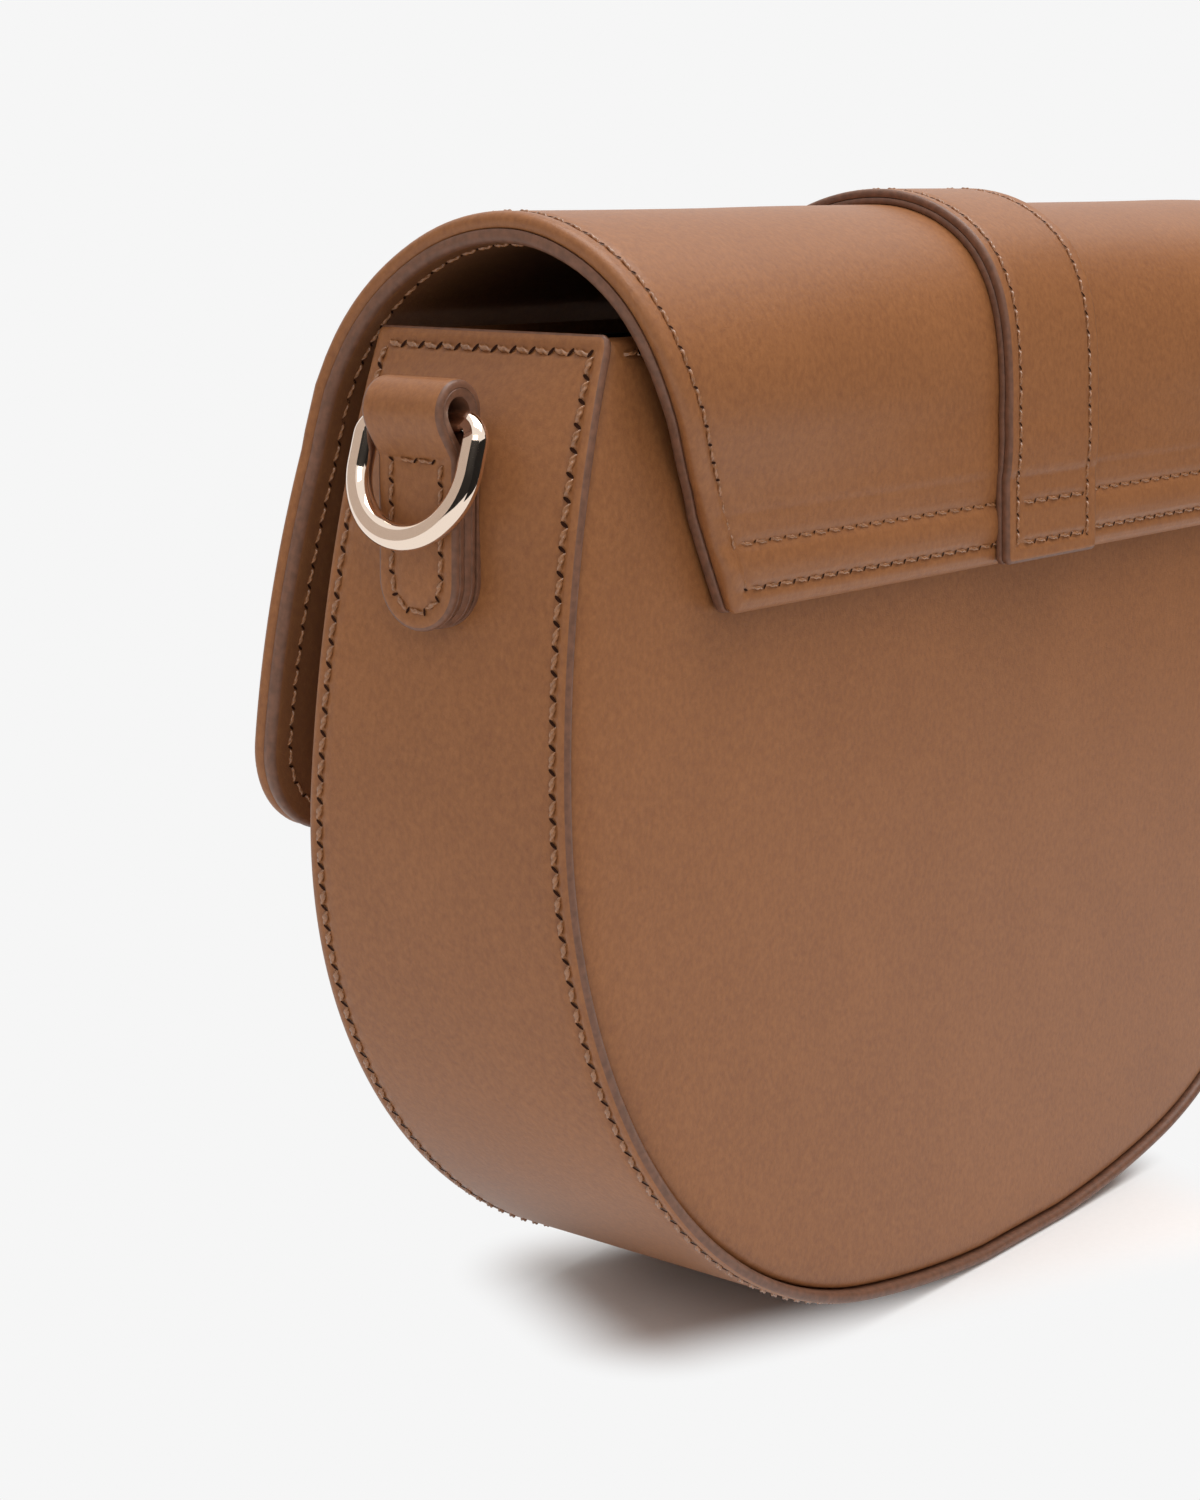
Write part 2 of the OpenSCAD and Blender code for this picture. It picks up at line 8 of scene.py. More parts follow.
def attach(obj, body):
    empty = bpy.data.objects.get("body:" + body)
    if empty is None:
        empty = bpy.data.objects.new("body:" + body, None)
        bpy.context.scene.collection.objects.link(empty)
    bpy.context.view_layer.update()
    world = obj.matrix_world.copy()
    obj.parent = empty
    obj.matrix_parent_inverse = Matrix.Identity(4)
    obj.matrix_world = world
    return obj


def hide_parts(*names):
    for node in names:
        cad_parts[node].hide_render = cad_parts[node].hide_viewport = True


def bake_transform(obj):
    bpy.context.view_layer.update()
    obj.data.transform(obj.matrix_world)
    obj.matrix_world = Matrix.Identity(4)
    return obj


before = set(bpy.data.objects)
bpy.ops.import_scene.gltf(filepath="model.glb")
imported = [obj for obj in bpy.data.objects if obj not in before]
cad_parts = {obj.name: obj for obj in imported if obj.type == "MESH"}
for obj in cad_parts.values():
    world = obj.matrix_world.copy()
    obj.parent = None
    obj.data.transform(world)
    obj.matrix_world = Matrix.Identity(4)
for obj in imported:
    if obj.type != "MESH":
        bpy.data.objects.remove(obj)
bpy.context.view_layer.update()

MM = 0.001

# Sizes of the bag in millimetres, the same as the solids'.
HALF_W = 121.5
WIDEST_Z = 92.5
SAG = 0.3
CORNER_RISE = 3.1
MOUTH_LEAN = 11.5
MOUTH_Z = 156.8
MOUTH_DEPTH = 41.2
SPREAD = 13.7
GUSSET_T = 2.0
RECESS = 0.4
FLAP_T = 2.4
LINING_T = 2.0
SEAT_GAP = 0.3
BACK_EDGE_Z = MOUTH_Z - 38.6
HINGE_Z = BACK_EDGE_Z + 14.3
ARCH_Y = 2.5
ARCH_Z = MOUTH_Z + 14.5
ARCH_BACK_R = 23.4
ARCH_FRONT_R = 32.0
FRONT_LEAN = 6.5
FRONT_EDGE_Z = MOUTH_Z - 79.8
BAND_W = 28.8
BAND_IN = 2.5
BAND_FACE_IN = 3.6
BAND_OUT = 4.9
BAND_FACE_T = 1.3
BAR_Z = MOUTH_Z - 10.8
FOLD_X = HALF_W + 1.7
STRIP_W = 13.6
STRIP_T = 1.7
TIP_Z = BAR_Z - 28.3

# Sewing, in millimetres.
STITCH = 3.0
THREAD = 0.31
# How wide a strip the pull of the thread presses down, on each side of a row, and how deep.
PULL_REACH = 1.1
PULL = 0.26
FLAP_PULL = 0.28
BAND_PULL = 0.3
# The threads of the flap and its band lie this much higher than the leather they are pulled into.
THREAD_LIFT = 0.05
# Elsewhere they lie this far below the leather's face.
THREAD_SUNK = 0.2

CORNER_R = WIDEST_Z + SAG - CORNER_RISE
CORNER_X = HALF_W - CORNER_R
BASE_R = CORNER_X ** 2 / (2 * CORNER_RISE) + WIDEST_Z + SAG - CORNER_RISE / 2
SIDE_RISE = MOUTH_Z - WIDEST_Z
SIDE_R = (SIDE_RISE ** 2 + MOUTH_LEAN ** 2) / (2 * MOUTH_LEAN)


def half_depth(z):
    """Half of the body's depth at a height."""
    return MOUTH_DEPTH / 2 + SPREAD / 2 * (1 - z / MOUTH_Z)


# Colours and finishes

def rgb(hex_value):
    """A colour written in sRGB, as linear values."""
    parts = [int(hex_value[i:i + 2], 16) / 255 for i in (1, 3, 5)]
    return tuple(c / 12.92 if c <= 0.04045 else ((c + 0.055) / 1.055) ** 2.4 for c in parts) + (1.0,)


def node(tree, kind, inputs=None, **settings):
    """Adds a node with its settings and its links or values."""
    new = tree.nodes.new("ShaderNode" + kind)
    for key, value in settings.items():
        setattr(new, key, value)
    for key, value in (inputs or {}).items():
        if isinstance(value, bpy.types.Node):
            value = value.outputs[0]
        if isinstance(value, bpy.types.NodeSocket):
            tree.links.new(value, new.inputs[key])
        else:
            new.inputs[key].default_value = value
    return new


def finish(name, roughness, **values):
    """A new material; returns it, its tree, its shader and the place on the piece."""
    mat = bpy.data.materials.new(name)
    mat.use_nodes = True
    tree = mat.node_tree
    shader = tree.nodes["Principled BSDF"]
    shader.inputs["Roughness"].default_value = roughness
    for key, value in values.items():
        shader.inputs[key.replace("_", " ")].default_value = value
    return mat, tree, shader, node(tree, "TexCoord").outputs["Object"]


def ramp(tree, source, stops):
    """A colour ramp over a value, with (place, hex) stops."""
    new = node(tree, "ValToRGB", {"Fac": source})
    band = new.color_ramp
    while len(band.elements) < len(stops):
        band.elements.new(0.5)
    for element, (place, colour) in zip(band.elements, stops):
        element.position = place
        element.color = rgb(colour)
    return new.outputs["Color"]


# The spacing of the leather's creases, in millimetres.
GRAIN = 0.7


def leather(name, dark, mid, light, roughness):
    """Aniline calf: fine creased grain, short fibre marks, and slow mottling where the dye took unevenly."""
    mat, tree, shader, place = finish(name, roughness, IOR=1.45, Specular_IOR_Level=0.42)
    mottle = node(tree, "TexNoise", {"Vector": place, "Scale": 45.0, "Detail": 3.0, "Roughness": 0.5})
    drawn_out = node(tree, "Mapping", {"Vector": place, "Scale": (1.0, 1.0, 0.8), "Rotation": (0.3, 0.25, 0.0)})
    fibre = node(tree, "TexNoise", {"Vector": drawn_out, "Scale": 1100.0, "Detail": 4.0, "Roughness": 0.65})
    slow = node(tree, "Math", {0: mottle, 1: 0.2}, operation="MULTIPLY")
    tone = node(tree, "Math", {0: fibre, 1: 0.8, 2: slow}, operation="MULTIPLY_ADD")
    colour = ramp(tree, tone.outputs[0], [(0.3, dark), (0.5, mid), (0.7, light)])
    tree.links.new(colour, shader.inputs["Base Color"])
    cells = node(tree, "TexVoronoi", {"Vector": drawn_out, "Scale": 1 / (GRAIN * MM)}, feature="DISTANCE_TO_EDGE")
    crease = node(tree, "MapRange", {"Value": cells.outputs["Distance"], "From Max": 0.16},
                  interpolation_type="SMOOTHSTEP")
    relief = node(tree, "Math", {0: fibre, 1: 4.0, 2: crease}, operation="MULTIPLY_ADD")
    bump = node(tree, "Bump", {"Height": relief, "Strength": 0.3, "Distance": 0.028 * MM})
    soft = node(tree, "Bump", {"Height": mottle, "Strength": 0.14, "Distance": 0.8 * MM,
                               "Normal": bump.outputs["Normal"]})
    tree.links.new(soft.outputs["Normal"], shader.inputs["Normal"])
    return mat


def plain(name, colour, roughness, scale=600.0, depth_mm=0.05, strength=0.3, **values):
    """A finish of one colour whose surface is slightly uneven."""
    mat, tree, shader, place = finish(name, roughness, **values)
    uneven = node(tree, "TexNoise", {"Vector": place, "Scale": scale, "Detail": 3.0})
    darker = "#%02x%02x%02x" % tuple(int(int(colour[i:i + 2], 16) * 0.86) for i in (1, 3, 5))
    tint = ramp(tree, uneven.outputs["Fac"], [(0.35, darker), (0.65, colour)])
    tree.links.new(tint, shader.inputs["Base Color"])
    bump = node(tree, "Bump", {"Height": uneven.outputs["Fac"], "Strength": strength, "Distance": depth_mm * MM})
    tree.links.new(bump.outputs["Normal"], shader.inputs["Normal"])
    return mat


# Waxed calf, aniline dyed: a low even sheen over a mottled cognac tan.
CALF = leather("waxed_calf", "#845332", "#905d37", "#9c663d", 0.43)
# Calf lining of the flap, a little paler and drier than the face.
LINING_CALF = leather("lining_calf", "#774d33", "#7d5132", "#855a38", 0.55)
# Cut edges sealed with several coats of brown edge paint, which dries smooth and rubbery.
EDGE = plain("edge_paint", "#7b5440", 0.45, 900.0, 0.02, 0.2, IOR=1.45)
# Waxed polyester thread, a shade lighter than the calf.
THREAD_MAT = plain("waxed_thread", "#a06e49", 0.27, 1500.0, 0.05, 0.3, IOR=1.5, Specular_IOR_Level=0.7)
# Painted shade: the dark inside of the needle holes.
HOLE_SHADE = plain("needle_hole_shade", "#341b10", 0.9, Specular_IOR_Level=0.1)
# Dense cotton twill in a near-black brown.
CLOTH = plain("dark_twill", "#1d1411", 0.9, 2400.0, 0.12, 0.6, Sheen_Weight=0.1)
# Bonded leather fibre board.
BOARD = plain("fibre_board", "#6b5138", 0.85)


def plated(name, colour, roughness):
    """Zinc alloy, polished and plated: mirror bright, with the faint swirls of the buffing wheel in its gloss."""
    mat, tree, shader, place = finish(name, roughness, Metallic=1.0)
    shader.inputs["Base Color"].default_value = rgb(colour)
    swirl = node(tree, "TexNoise", {"Vector": place, "Scale": 500.0, "Detail": 2.0})
    gloss = node(tree, "MapRange", {"Value": swirl.outputs["Fac"], "To Min": roughness * 0.7,
                                    "To Max": roughness * 1.5})
    tree.links.new(gloss.outputs["Result"], shader.inputs["Roughness"])
    return mat


GOLD = plated("pale_gold_plate", "#f5e1cf", 0.045)
SNAP_GOLD = plated("snap_plate", "#d9bf8e", 0.22)


# Ways of working

def deselect():
    """Leaves edit mode with nothing selected."""
    if bpy.context.object and bpy.context.object.mode != "OBJECT":
        bpy.ops.object.mode_set(mode="OBJECT")
    bpy.ops.object.select_all(action="DESELECT")


def pick(obj):
    """Makes a piece the one that operators work on."""
    deselect()
    obj.select_set(True)
    bpy.context.view_layer.objects.active = obj


def edit(obj):
    """Opens a piece's mesh with all of it selected."""
    pick(obj)
    bpy.ops.object.mode_set(mode="EDIT")
    bpy.ops.mesh.select_all(action="SELECT")


def turned_out(obj):
    """Points every face of a closed piece outwards."""
    edit(obj)
    bpy.ops.mesh.normals_make_consistent(inside=False)
    bpy.ops.object.mode_set(mode="OBJECT")
    return obj


def turned_over(obj):
    """Turns the faces of a piece over, where its shaping turned it inside out."""
    edit(obj)
    bpy.ops.mesh.flip_normals()
    bpy.ops.object.mode_set(mode="OBJECT")
    return obj


def added(name, data):
    """A new object in the scene."""
    obj = bpy.data.objects.new(name, data)
    bpy.context.collection.objects.link(obj)
    return obj


def started(name, mats, add, **shape):
    """A new piece from one of Blender's primitives, the one that operators work on."""
    deselect()
    add(**shape)
    obj = bpy.context.object
    obj.name = obj.data.name = name
    for mat in mats:
        obj.data.materials.append(mat)
    return obj


def numbered(name, points, fill, mats):
    """A new piece: a ring of numbered points in millimetres, open to edit."""
    obj = started(name, mats, bpy.ops.mesh.primitive_circle_add, vertices=len(points), fill_type=fill)
    number = obj.data.attributes.new("number", "INT", "POINT")
    for vertex, point in zip(obj.data.vertices, points):
        vertex.co = [c * MM for c in point]
        number.data[vertex.index].value = vertex.index
    edit(obj)
    return obj


def closed(obj):
    """Ends the work on a piece of numbered points."""
    bpy.ops.object.mode_set(mode="OBJECT")
    obj.data.attributes.remove(obj.data.attributes["number"])
    return obj


def inner_outline(pattern, inset):
    """A pattern's outline moved inwards, point for point; a corner rounder than the inset closes to a point."""
    count = len(pattern)
    points = [Vector(p) for p in pattern]
    ways = [(points[(i + 1) % count] - points[i]).normalized() for i in range(count)]
    sides = [Vector((-way.y, way.x)) for way in ways]
    kept = list(range(count))
    while True:
        corner = {}
        for k, edge in enumerate(kept):
            last = kept[k - 1]
            a, b = sides[last], sides[edge]
            p, q = points[last] + a * inset, points[edge] + b * inset
            cross = ways[last].cross(ways[edge])
            if abs(cross) > 0.02 and (edge - last) % count > 1:
                corner[edge] = p + ways[last] * ((q - p).cross(ways[edge]) / cross)
            elif (edge - last) % count > 1:
                corner[edge] = (p + ways[last] * (q - p).dot(ways[last]) + q) / 2
            else:
                corner[edge] = points[edge] + (a + b) * (inset / max(1 + a.dot(b), 0.3))
        lost = [edge for k, edge in enumerate(kept)
                if (corner[kept[(k + 1) % len(kept)]] - corner[edge]).dot(ways[edge]) <= 0]
        if not lost or len(kept) - len(lost) < 3:
            break
        kept = [edge for edge in kept if edge not in lost]
    out, k = [], 0
    for i in range(count):
        while k < len(kept) and kept[k] < i:
            k += 1
        out.append(corner[kept[k % len(kept)]])
    return out


def cut_piece(name, pattern, mats, top, under):
    """Cuts a piece of leather on the flat and works its edge round.

    pattern is its outline in millimetres, anticlockwise, at mid thickness. top and under are
    (inset, rise, material) steps from the edge inwards, each rise away from mid thickness."""
    obj = numbered(name, [(u, v, 0) for u, v in pattern], "NGON", mats)
    bpy.ops.mesh.normals_make_consistent(inside=False)
    mesh = bmesh.from_edit_mesh(obj.data)
    mesh.faces.ensure_lookup_table()
    if mesh.faces[0].normal.z < 0:
        bpy.ops.mesh.flip_normals()
    bpy.ops.mesh.duplicate()
    bpy.ops.mesh.flip_normals()
    for side, steps in ((-1, under), (1, top)):
        mesh = bmesh.from_edit_mesh(obj.data)
        for face in mesh.faces:
            face.select_set(False)
        big = [f for f in mesh.faces if len(f.verts) == len(pattern) and f.normal.z * side > 0.5]
        big[0].select_set(True)
        mesh.select_flush_mode()
        bmesh.update_edit_mesh(obj.data)
        inset = height = 0.0
        for step, rise, mat in steps:
            inset, height = inset + step, height + rise
            ring = inner_outline(pattern, inset)
            bpy.ops.mesh.extrude_region_move()
            mesh = bmesh.from_edit_mesh(obj.data)
            number = mesh.verts.layers.int["number"]
            for face in [f for f in mesh.faces if f.select]:
                for vertex in face.verts:
                    place = ring[vertex[number]]
                    vertex.co = (place.x * MM, place.y * MM, side * height * MM)
                for wall in [w for edge in face.edges for w in edge.link_faces if w is not face]:
                    wall.material_index = mat
            bmesh.update_edit_mesh(obj.data)
        mesh = bmesh.from_edit_mesh(obj.data)
        for face in mesh.faces:
            if face.select:
                face.material_index = steps[-1][2]
        bmesh.update_edit_mesh(obj.data)
    bpy.ops.mesh.select_all(action="SELECT")
    bpy.ops.mesh.remove_doubles(threshold=0.004 * MM)
    # The faces that the extrusions started from are left inside, at mid thickness.
    mesh = bmesh.from_edit_mesh(obj.data)
    for face in mesh.faces:
        face.select_set(all(abs(vertex.co.z) < 0.001 * MM for vertex in face.verts))
    bmesh.update_edit_mesh(obj.data)
    bpy.ops.mesh.delete(type="ONLY_FACE")
    return closed(obj)


def slice_piece(obj, axis, places):
    """Cuts a flat piece across at each place along an axis, so that it can bend there."""
    edit(obj)
    across = [1.0 if i == axis else 0.0 for i in range(3)]
    for place in places:
        bpy.ops.mesh.select_all(action="SELECT")
        at = [place * MM * c for c in across]
        bpy.ops.mesh.bisect(plane_co=at, plane_no=across, threshold=0.001 * MM)
    bpy.ops.object.mode_set(mode="OBJECT")
    return obj


def make_path(name, points):
    """A curve through points in millimetres, along which flat leather is bent."""
    data = bpy.data.curves.new(name, "CURVE")
    data.dimensions = "3D"
    data.twist_mode = "MINIMUM"
    spline = data.splines.new("POLY")
    spline.points.add(len(points) - 1)
    for slot, point in zip(spline.points, points):
        slot.co = (point[0] * MM, point[1] * MM, point[2] * MM, 1)
    return added(name, data)


def bend(obj, path):
    """Bends a flat piece along a path and puts its place in its mesh."""
    modifier = obj.modifiers.new("bend", "CURVE")
    modifier.object = path
    modifier.deform_axis = "POS_X"
    pick(obj)
    bpy.ops.object.modifier_apply(modifier="bend")
    return obj


def lift(obj, height):
    """Moves a flat piece off the path by a height in millimetres."""
    obj.data.transform(Matrix.Translation((0, 0, height * MM)))
    return obj


def smooth(obj, angle=40):
    """Shades a piece smooth, but for edges sharper than an angle in degrees."""
    pick(obj)
    bpy.ops.object.shade_smooth_by_angle(angle=math.radians(angle))
    return obj


def frange(start, end, step):
    """Values from start up to end, about a step apart; only the two where end is the lower."""
    count = max(1, round((end - start) / step))
    return [start + (end - start) * i / count for i in range(count + 1)]


def arc(cx, cz, r, a0, a1, step):
    """Points on an arc, angles in degrees, spaced about step millimetres."""
    count = max(2, round(abs(math.radians(a1 - a0)) * r / step))
    angles = [math.radians(a0 + (a1 - a0) * i / count) for i in range(count + 1)]
    return [(cx + r * math.cos(a), cz + r * math.sin(a)) for a in angles]


def joined(*runs):
    """Runs of points end to end, without the doubled points."""
    out = []
    for run in runs:
        for p in run:
            if not out or math.dist(out[-1], p) > 0.02:
                out.append(p)
    return out


def lengths(points):
    """How far along a line each of its points lies."""
    out = [0.0]
    for a, b in zip(points, points[1:]):
        out.append(out[-1] + math.dist(a, b))
    return out


def along(points, run, s):
    """The point at a distance along a line of points."""
    s = min(max(s, 0.0), run[-1])
    for i in range(len(run) - 1):
        if s <= run[i + 1]:
            t = (s - run[i]) / (run[i + 1] - run[i])
            return tuple(a + (b - a) * t for a, b in zip(points[i], points[i + 1]))
    return points[-1]


# Outlines of the bag, in millimetres

def body_outline(inset):
    """The body's outline from its left mouth corner round the base to the right one, as (x, z)."""
    base_a = math.degrees(math.atan2(CORNER_X, BASE_R - SAG - WIDEST_Z))
    top_a = math.degrees(math.asin(SIDE_RISE / SIDE_R))
    side = arc(HALF_W - SIDE_R, WIDEST_Z, SIDE_R - inset, top_a, 0, 2.5)
    corner = arc(CORNER_X, WIDEST_Z, CORNER_R - inset, 0, base_a - 90, 2.5)
    base = arc(0, BASE_R - SAG, BASE_R - inset, base_a - 90, -90, 2.5)
    right = joined(side, corner, base)
    left = [(-x, z) for x, z in right]
    return [(x, max(z, inset)) for x, z in joined(left, right[::-1])]


OUTLINE = body_outline(0)
OUTLINE_RUN = lengths(OUTLINE)
GUSSET_L = OUTLINE_RUN[-1]


# The flap's path starts this far before its back edge and ends this far after its front edge.
OVERRUN = 2.0


def flap_profile():
    """The seam between the flap's leather and its lining, from its back edge over the arch, as (y, z)."""
    off = SEAT_GAP + LINING_T - RECESS
    hinge_y = half_depth(HINGE_Z) + off
    back_z = ARCH_Z - ARCH_BACK_R
    front_z = ARCH_Z - ARCH_FRONT_R
    dy, dz = hinge_y - ARCH_Y, HINGE_Z - back_z
    lean = math.degrees(math.atan2(dz, dy) + math.acos(ARCH_BACK_R / math.hypot(dy, dz)))
    seat = [(half_depth(z) + off, z) for z in frange(BACK_EDGE_Z - OVERRUN, HINGE_Z, 1.5)]
    back = arc(ARCH_Y, back_z, ARCH_BACK_R, lean, 90, 0.8)
    front = arc(ARCH_Y, front_z, ARCH_FRONT_R, 90, 180 - FRONT_LEAN, 0.8)
    y0, z0 = front[-1]
    slope = math.tan(math.radians(FRONT_LEAN))
    hang = [(y0 - (z0 - z) * slope, z) for z in frange(z0, FRONT_EDGE_Z - OVERRUN, 2.0)]
    return joined(seat, straight(seat[-1], back[0], 1.0), back, front, hang)


def straight(a, b, step):
    """Points from one place to another, about a step apart."""
    count = max(1, round(math.dist(a, b) / step))
    return [tuple(p + (q - p) * i / count for p, q in zip(a, b)) for i in range(count + 1)]


PROFILE = flap_profile()
PROFILE_RUN = lengths(PROFILE)
# A place s on the flap is at s + LEAD along its path.
LEAD = OVERRUN / math.cos(math.atan(SPREAD / 2 / MOUTH_Z))


def s_at_front(z):
    """Distance from the flap's back edge to a height on its hanging front."""
    return PROFILE_RUN[-1] - LEAD - (z - FRONT_EDGE_Z + OVERRUN) / math.cos(math.radians(FRONT_LEAN))


# Half width of the flap at distances from its back edge, up to its straight front.
BACK_SHAPE = [(0, 87.5), (8, 91.3), (16, 95.0), (21, 98.1), (26, 100.9), (31, 103.6), (35.5, 105.4), (40, 106.7),
              (45, 107.8), (51, 109.0), (58, 110.1), (66, 110.4), (84, 110.6), (93, 111.3), (103, 112.3)]


def eased(table, s):
    """A smooth line through a table of places and values."""
    if s <= table[0][0]:
        return table[0][1]
    for i in range(len(table) - 1):
        (a, p), (b, q) = table[i], table[i + 1]
        if s <= b:
            t = (s - a) / (b - a)
            before = table[i - 1] if i else (2 * a - b, 2 * p - q)
            after = table[i + 2] if i + 2 < len(table) else (2 * b - a, 2 * q - p)
            m0 = (q - before[1]) / (b - before[0]) * (b - a)
            m1 = (after[1] - p) / (after[0] - a) * (b - a)
            return ((2 * t ** 3 - 3 * t * t + 1) * p + (t ** 3 - 2 * t * t + t) * m0
                    + (3 * t * t - 2 * t ** 3) * q + (t ** 3 - t * t) * m1)
    return table[-1][1]


# The flap's front, from where its side turns into a long arc down to its corners.
FRONT_HALF_W = 120.0
FRONT_WIDEST_Z = MOUTH_Z - 59.8
FRONT_CORNER_R = 15.0
FRONT_SIDE_R = 165.0
FRONT_SIDE_TOP = 139.3


def flap_side():
    """One side of the flap on the flat, from its back corner to the middle of its front edge, as (s, x)."""
    upper = [(s, eased(BACK_SHAPE, s)) for s in frange(0, 103, 2.5)]
    cx = FRONT_HALF_W - FRONT_CORNER_R
    rise = FRONT_WIDEST_Z - FRONT_EDGE_Z - FRONT_CORNER_R
    base_r = cx * cx / (2 * rise) + FRONT_WIDEST_Z - FRONT_EDGE_Z - rise / 2
    base_a = math.degrees(math.atan2(cx, base_r + FRONT_EDGE_Z - FRONT_WIDEST_Z))
    top_a = math.degrees(math.asin((FRONT_SIDE_TOP - FRONT_WIDEST_Z) / FRONT_SIDE_R))
    side = arc(FRONT_HALF_W - FRONT_SIDE_R, FRONT_WIDEST_Z, FRONT_SIDE_R, top_a, 0, 2.5)
    corner = arc(cx, FRONT_WIDEST_Z, FRONT_CORNER_R, 0, base_a - 90, 1.0)
    base = arc(0, FRONT_EDGE_Z + base_r, base_r, base_a - 90, -90, 4.0)
    lower = [(s_at_front(z), x) for x, z in joined(side, corner, base)]
    return joined(upper, [p for p in lower if p[0] > 105.0])


def rounded_corner(before, at, after, r, steps=4):
    """A corner of a pattern, rounded."""
    a = Vector(before) - Vector(at)
    b = Vector(after) - Vector(at)
    a.normalize(), b.normalize()
    half = a.angle(b) / 2
    reach = r / math.tan(half)
    centre = Vector(at) + (a + b).normalized() * (r / math.sin(half))
    start, end = Vector(at) + a * reach, Vector(at) + b * reach
    out = []
    for i in range(steps + 1):
        p = start.lerp(end, i / steps) - centre
        p = centre + p.normalized() * r
        out.append((p.x, p.y))
    return out


def flap_pattern():
    """The flap's whole outline on the flat, anticlockwise."""
    side = flap_side()
    corner = rounded_corner(side[2], (0.0, side[0][1]), (0.0, 0.0), 1.6)
    upper = joined(corner[::-1], [p for p in side if p[0] > 2.0])
    lower = [(s, -x) for s, x in upper]
    back = corner[-1][1] - 3
    return joined([(0.0, -v) for v in frange(0, back, 4.0)], lower, upper[::-1],
                  [(0.0, v) for v in frange(back, 3, 4.0)])


def offset_run(points, distance):
    """A line of points moved to its left by a distance."""
    out = []
    for i, p in enumerate(points):
        a = points[max(i - 1, 0)]
        b = points[min(i + 1, len(points) - 1)]
        dx, dy = b[0] - a[0], b[1] - a[1]
        size = math.hypot(dx, dy) or 1.0
        out.append((p[0] - dy / size * distance, p[1] + dx / size * distance))
    return out


# Sewing

def make_stitch():
    """One stitch of two-ply thread along X, its ends going down into their holes."""
    obj = started("stitch", (THREAD_MAT,), bpy.ops.mesh.primitive_cylinder_add, vertices=10, radius=THREAD * MM,
                  depth=2 * MM, end_fill_type="NOTHING", rotation=(0, math.pi / 2, 0))
    bpy.ops.object.transform_apply(location=True, rotation=True, scale=True)
    slice_piece(obj, 0, [-0.84, -0.64, -0.43, -0.21, 0, 0.21, 0.43, 0.64, 0.84])
    half = STITCH * 0.46
    for vertex in obj.data.vertices:
        t = vertex.co.x / MM
        turn = math.atan2(vertex.co.z, vertex.co.y)
        radius = THREAD * (0.84 + 0.22 * math.cos(2 * turn)) * (1.0 - 0.3 * abs(t) ** 4)
        turn += 3.4 * t
        vertex.co = Vector((t * half, radius * math.cos(turn) - 0.2 * t,
                            radius * math.sin(turn) + 0.14 - 0.56 * abs(t) ** 3)) * MM
    return smooth(obj, 70)


def make_hole():
    """A dark disc of painted shade for the mouth of one needle hole, cut slanting across the row."""
    obj = started("hole", (THREAD_MAT, HOLE_SHADE), bpy.ops.mesh.primitive_circle_add, vertices=8, radius=MM,
                  fill_type="TRIFAN")
    for vertex in obj.data.vertices:
        x, y = vertex.co.x / MM, vertex.co.y / MM
        away = math.hypot(x, y)
        vertex.co = Vector((0.22 * x + 0.24 * y, 0.42 * y, 0.02 + 0.12 * away)) * MM
    for poly in obj.data.polygons:
        poly.material_index = 1
    return obj


STITCH_SHAPE = make_stitch()
HOLE_SHAPE = make_hole()


def sew(name, rows, height, stretch=None, side=1, thick=1.0, long=1.0, cross=None):
    """Rows of stitches on the flat along lines of (u, v) points, at a height; side -1 is the underside.

    stretch gives how much the bend will lengthen the leather at a place u, long how long the first row's stitches
    are next to STITCH, cross the same for the rows after it."""
    whole = bmesh.new()
    face = Matrix.Rotation(math.pi if side < 0 else 0.0, 4, "X")
    for place, row in enumerate(rows):
        bent = [0.0]
        for a, b in zip(row, row[1:]):
            size = math.dist(a, b)
            if stretch:
                size += (stretch((a[0] + b[0]) / 2) - 1.0) * abs(b[0] - a[0])
            bent.append(bent[-1] + size)
        count = max(1, round(bent[-1] / (STITCH * (cross if cross and place else long))))
        stops = [along(row, bent, bent[-1] * i / count) for i in range(count + 1)]
        for a, b in zip(stops, stops[1:]):
            turn = Matrix.Rotation(math.atan2(b[1] - a[1], b[0] - a[0]), 4, "Z") @ face
            middle = ((a[0] + b[0]) / 2, (a[1] + b[1]) / 2)
            for shape, at, size in ((STITCH_SHAPE, middle, (math.dist(a, b) / STITCH, thick, thick, 1)),
                                    (HOLE_SHAPE, a, (thick, thick, 1, 1))):
                start = len(whole.verts)
                whole.from_mesh(shape.data)
                whole.verts.ensure_lookup_table()
                where = Matrix.Translation(Vector((*at, height)) * MM) @ turn @ Matrix.Diagonal(size)
                bmesh.ops.transform(whole, matrix=where, verts=whole.verts[start:])
    data = bpy.data.meshes.new(name)
    whole.to_mesh(data)
    whole.free()
    data.materials.append(THREAD_MAT)
    data.materials.append(HOLE_SHADE)
    for poly in data.polygons:
        poly.use_smooth = True
    return added(name, data)


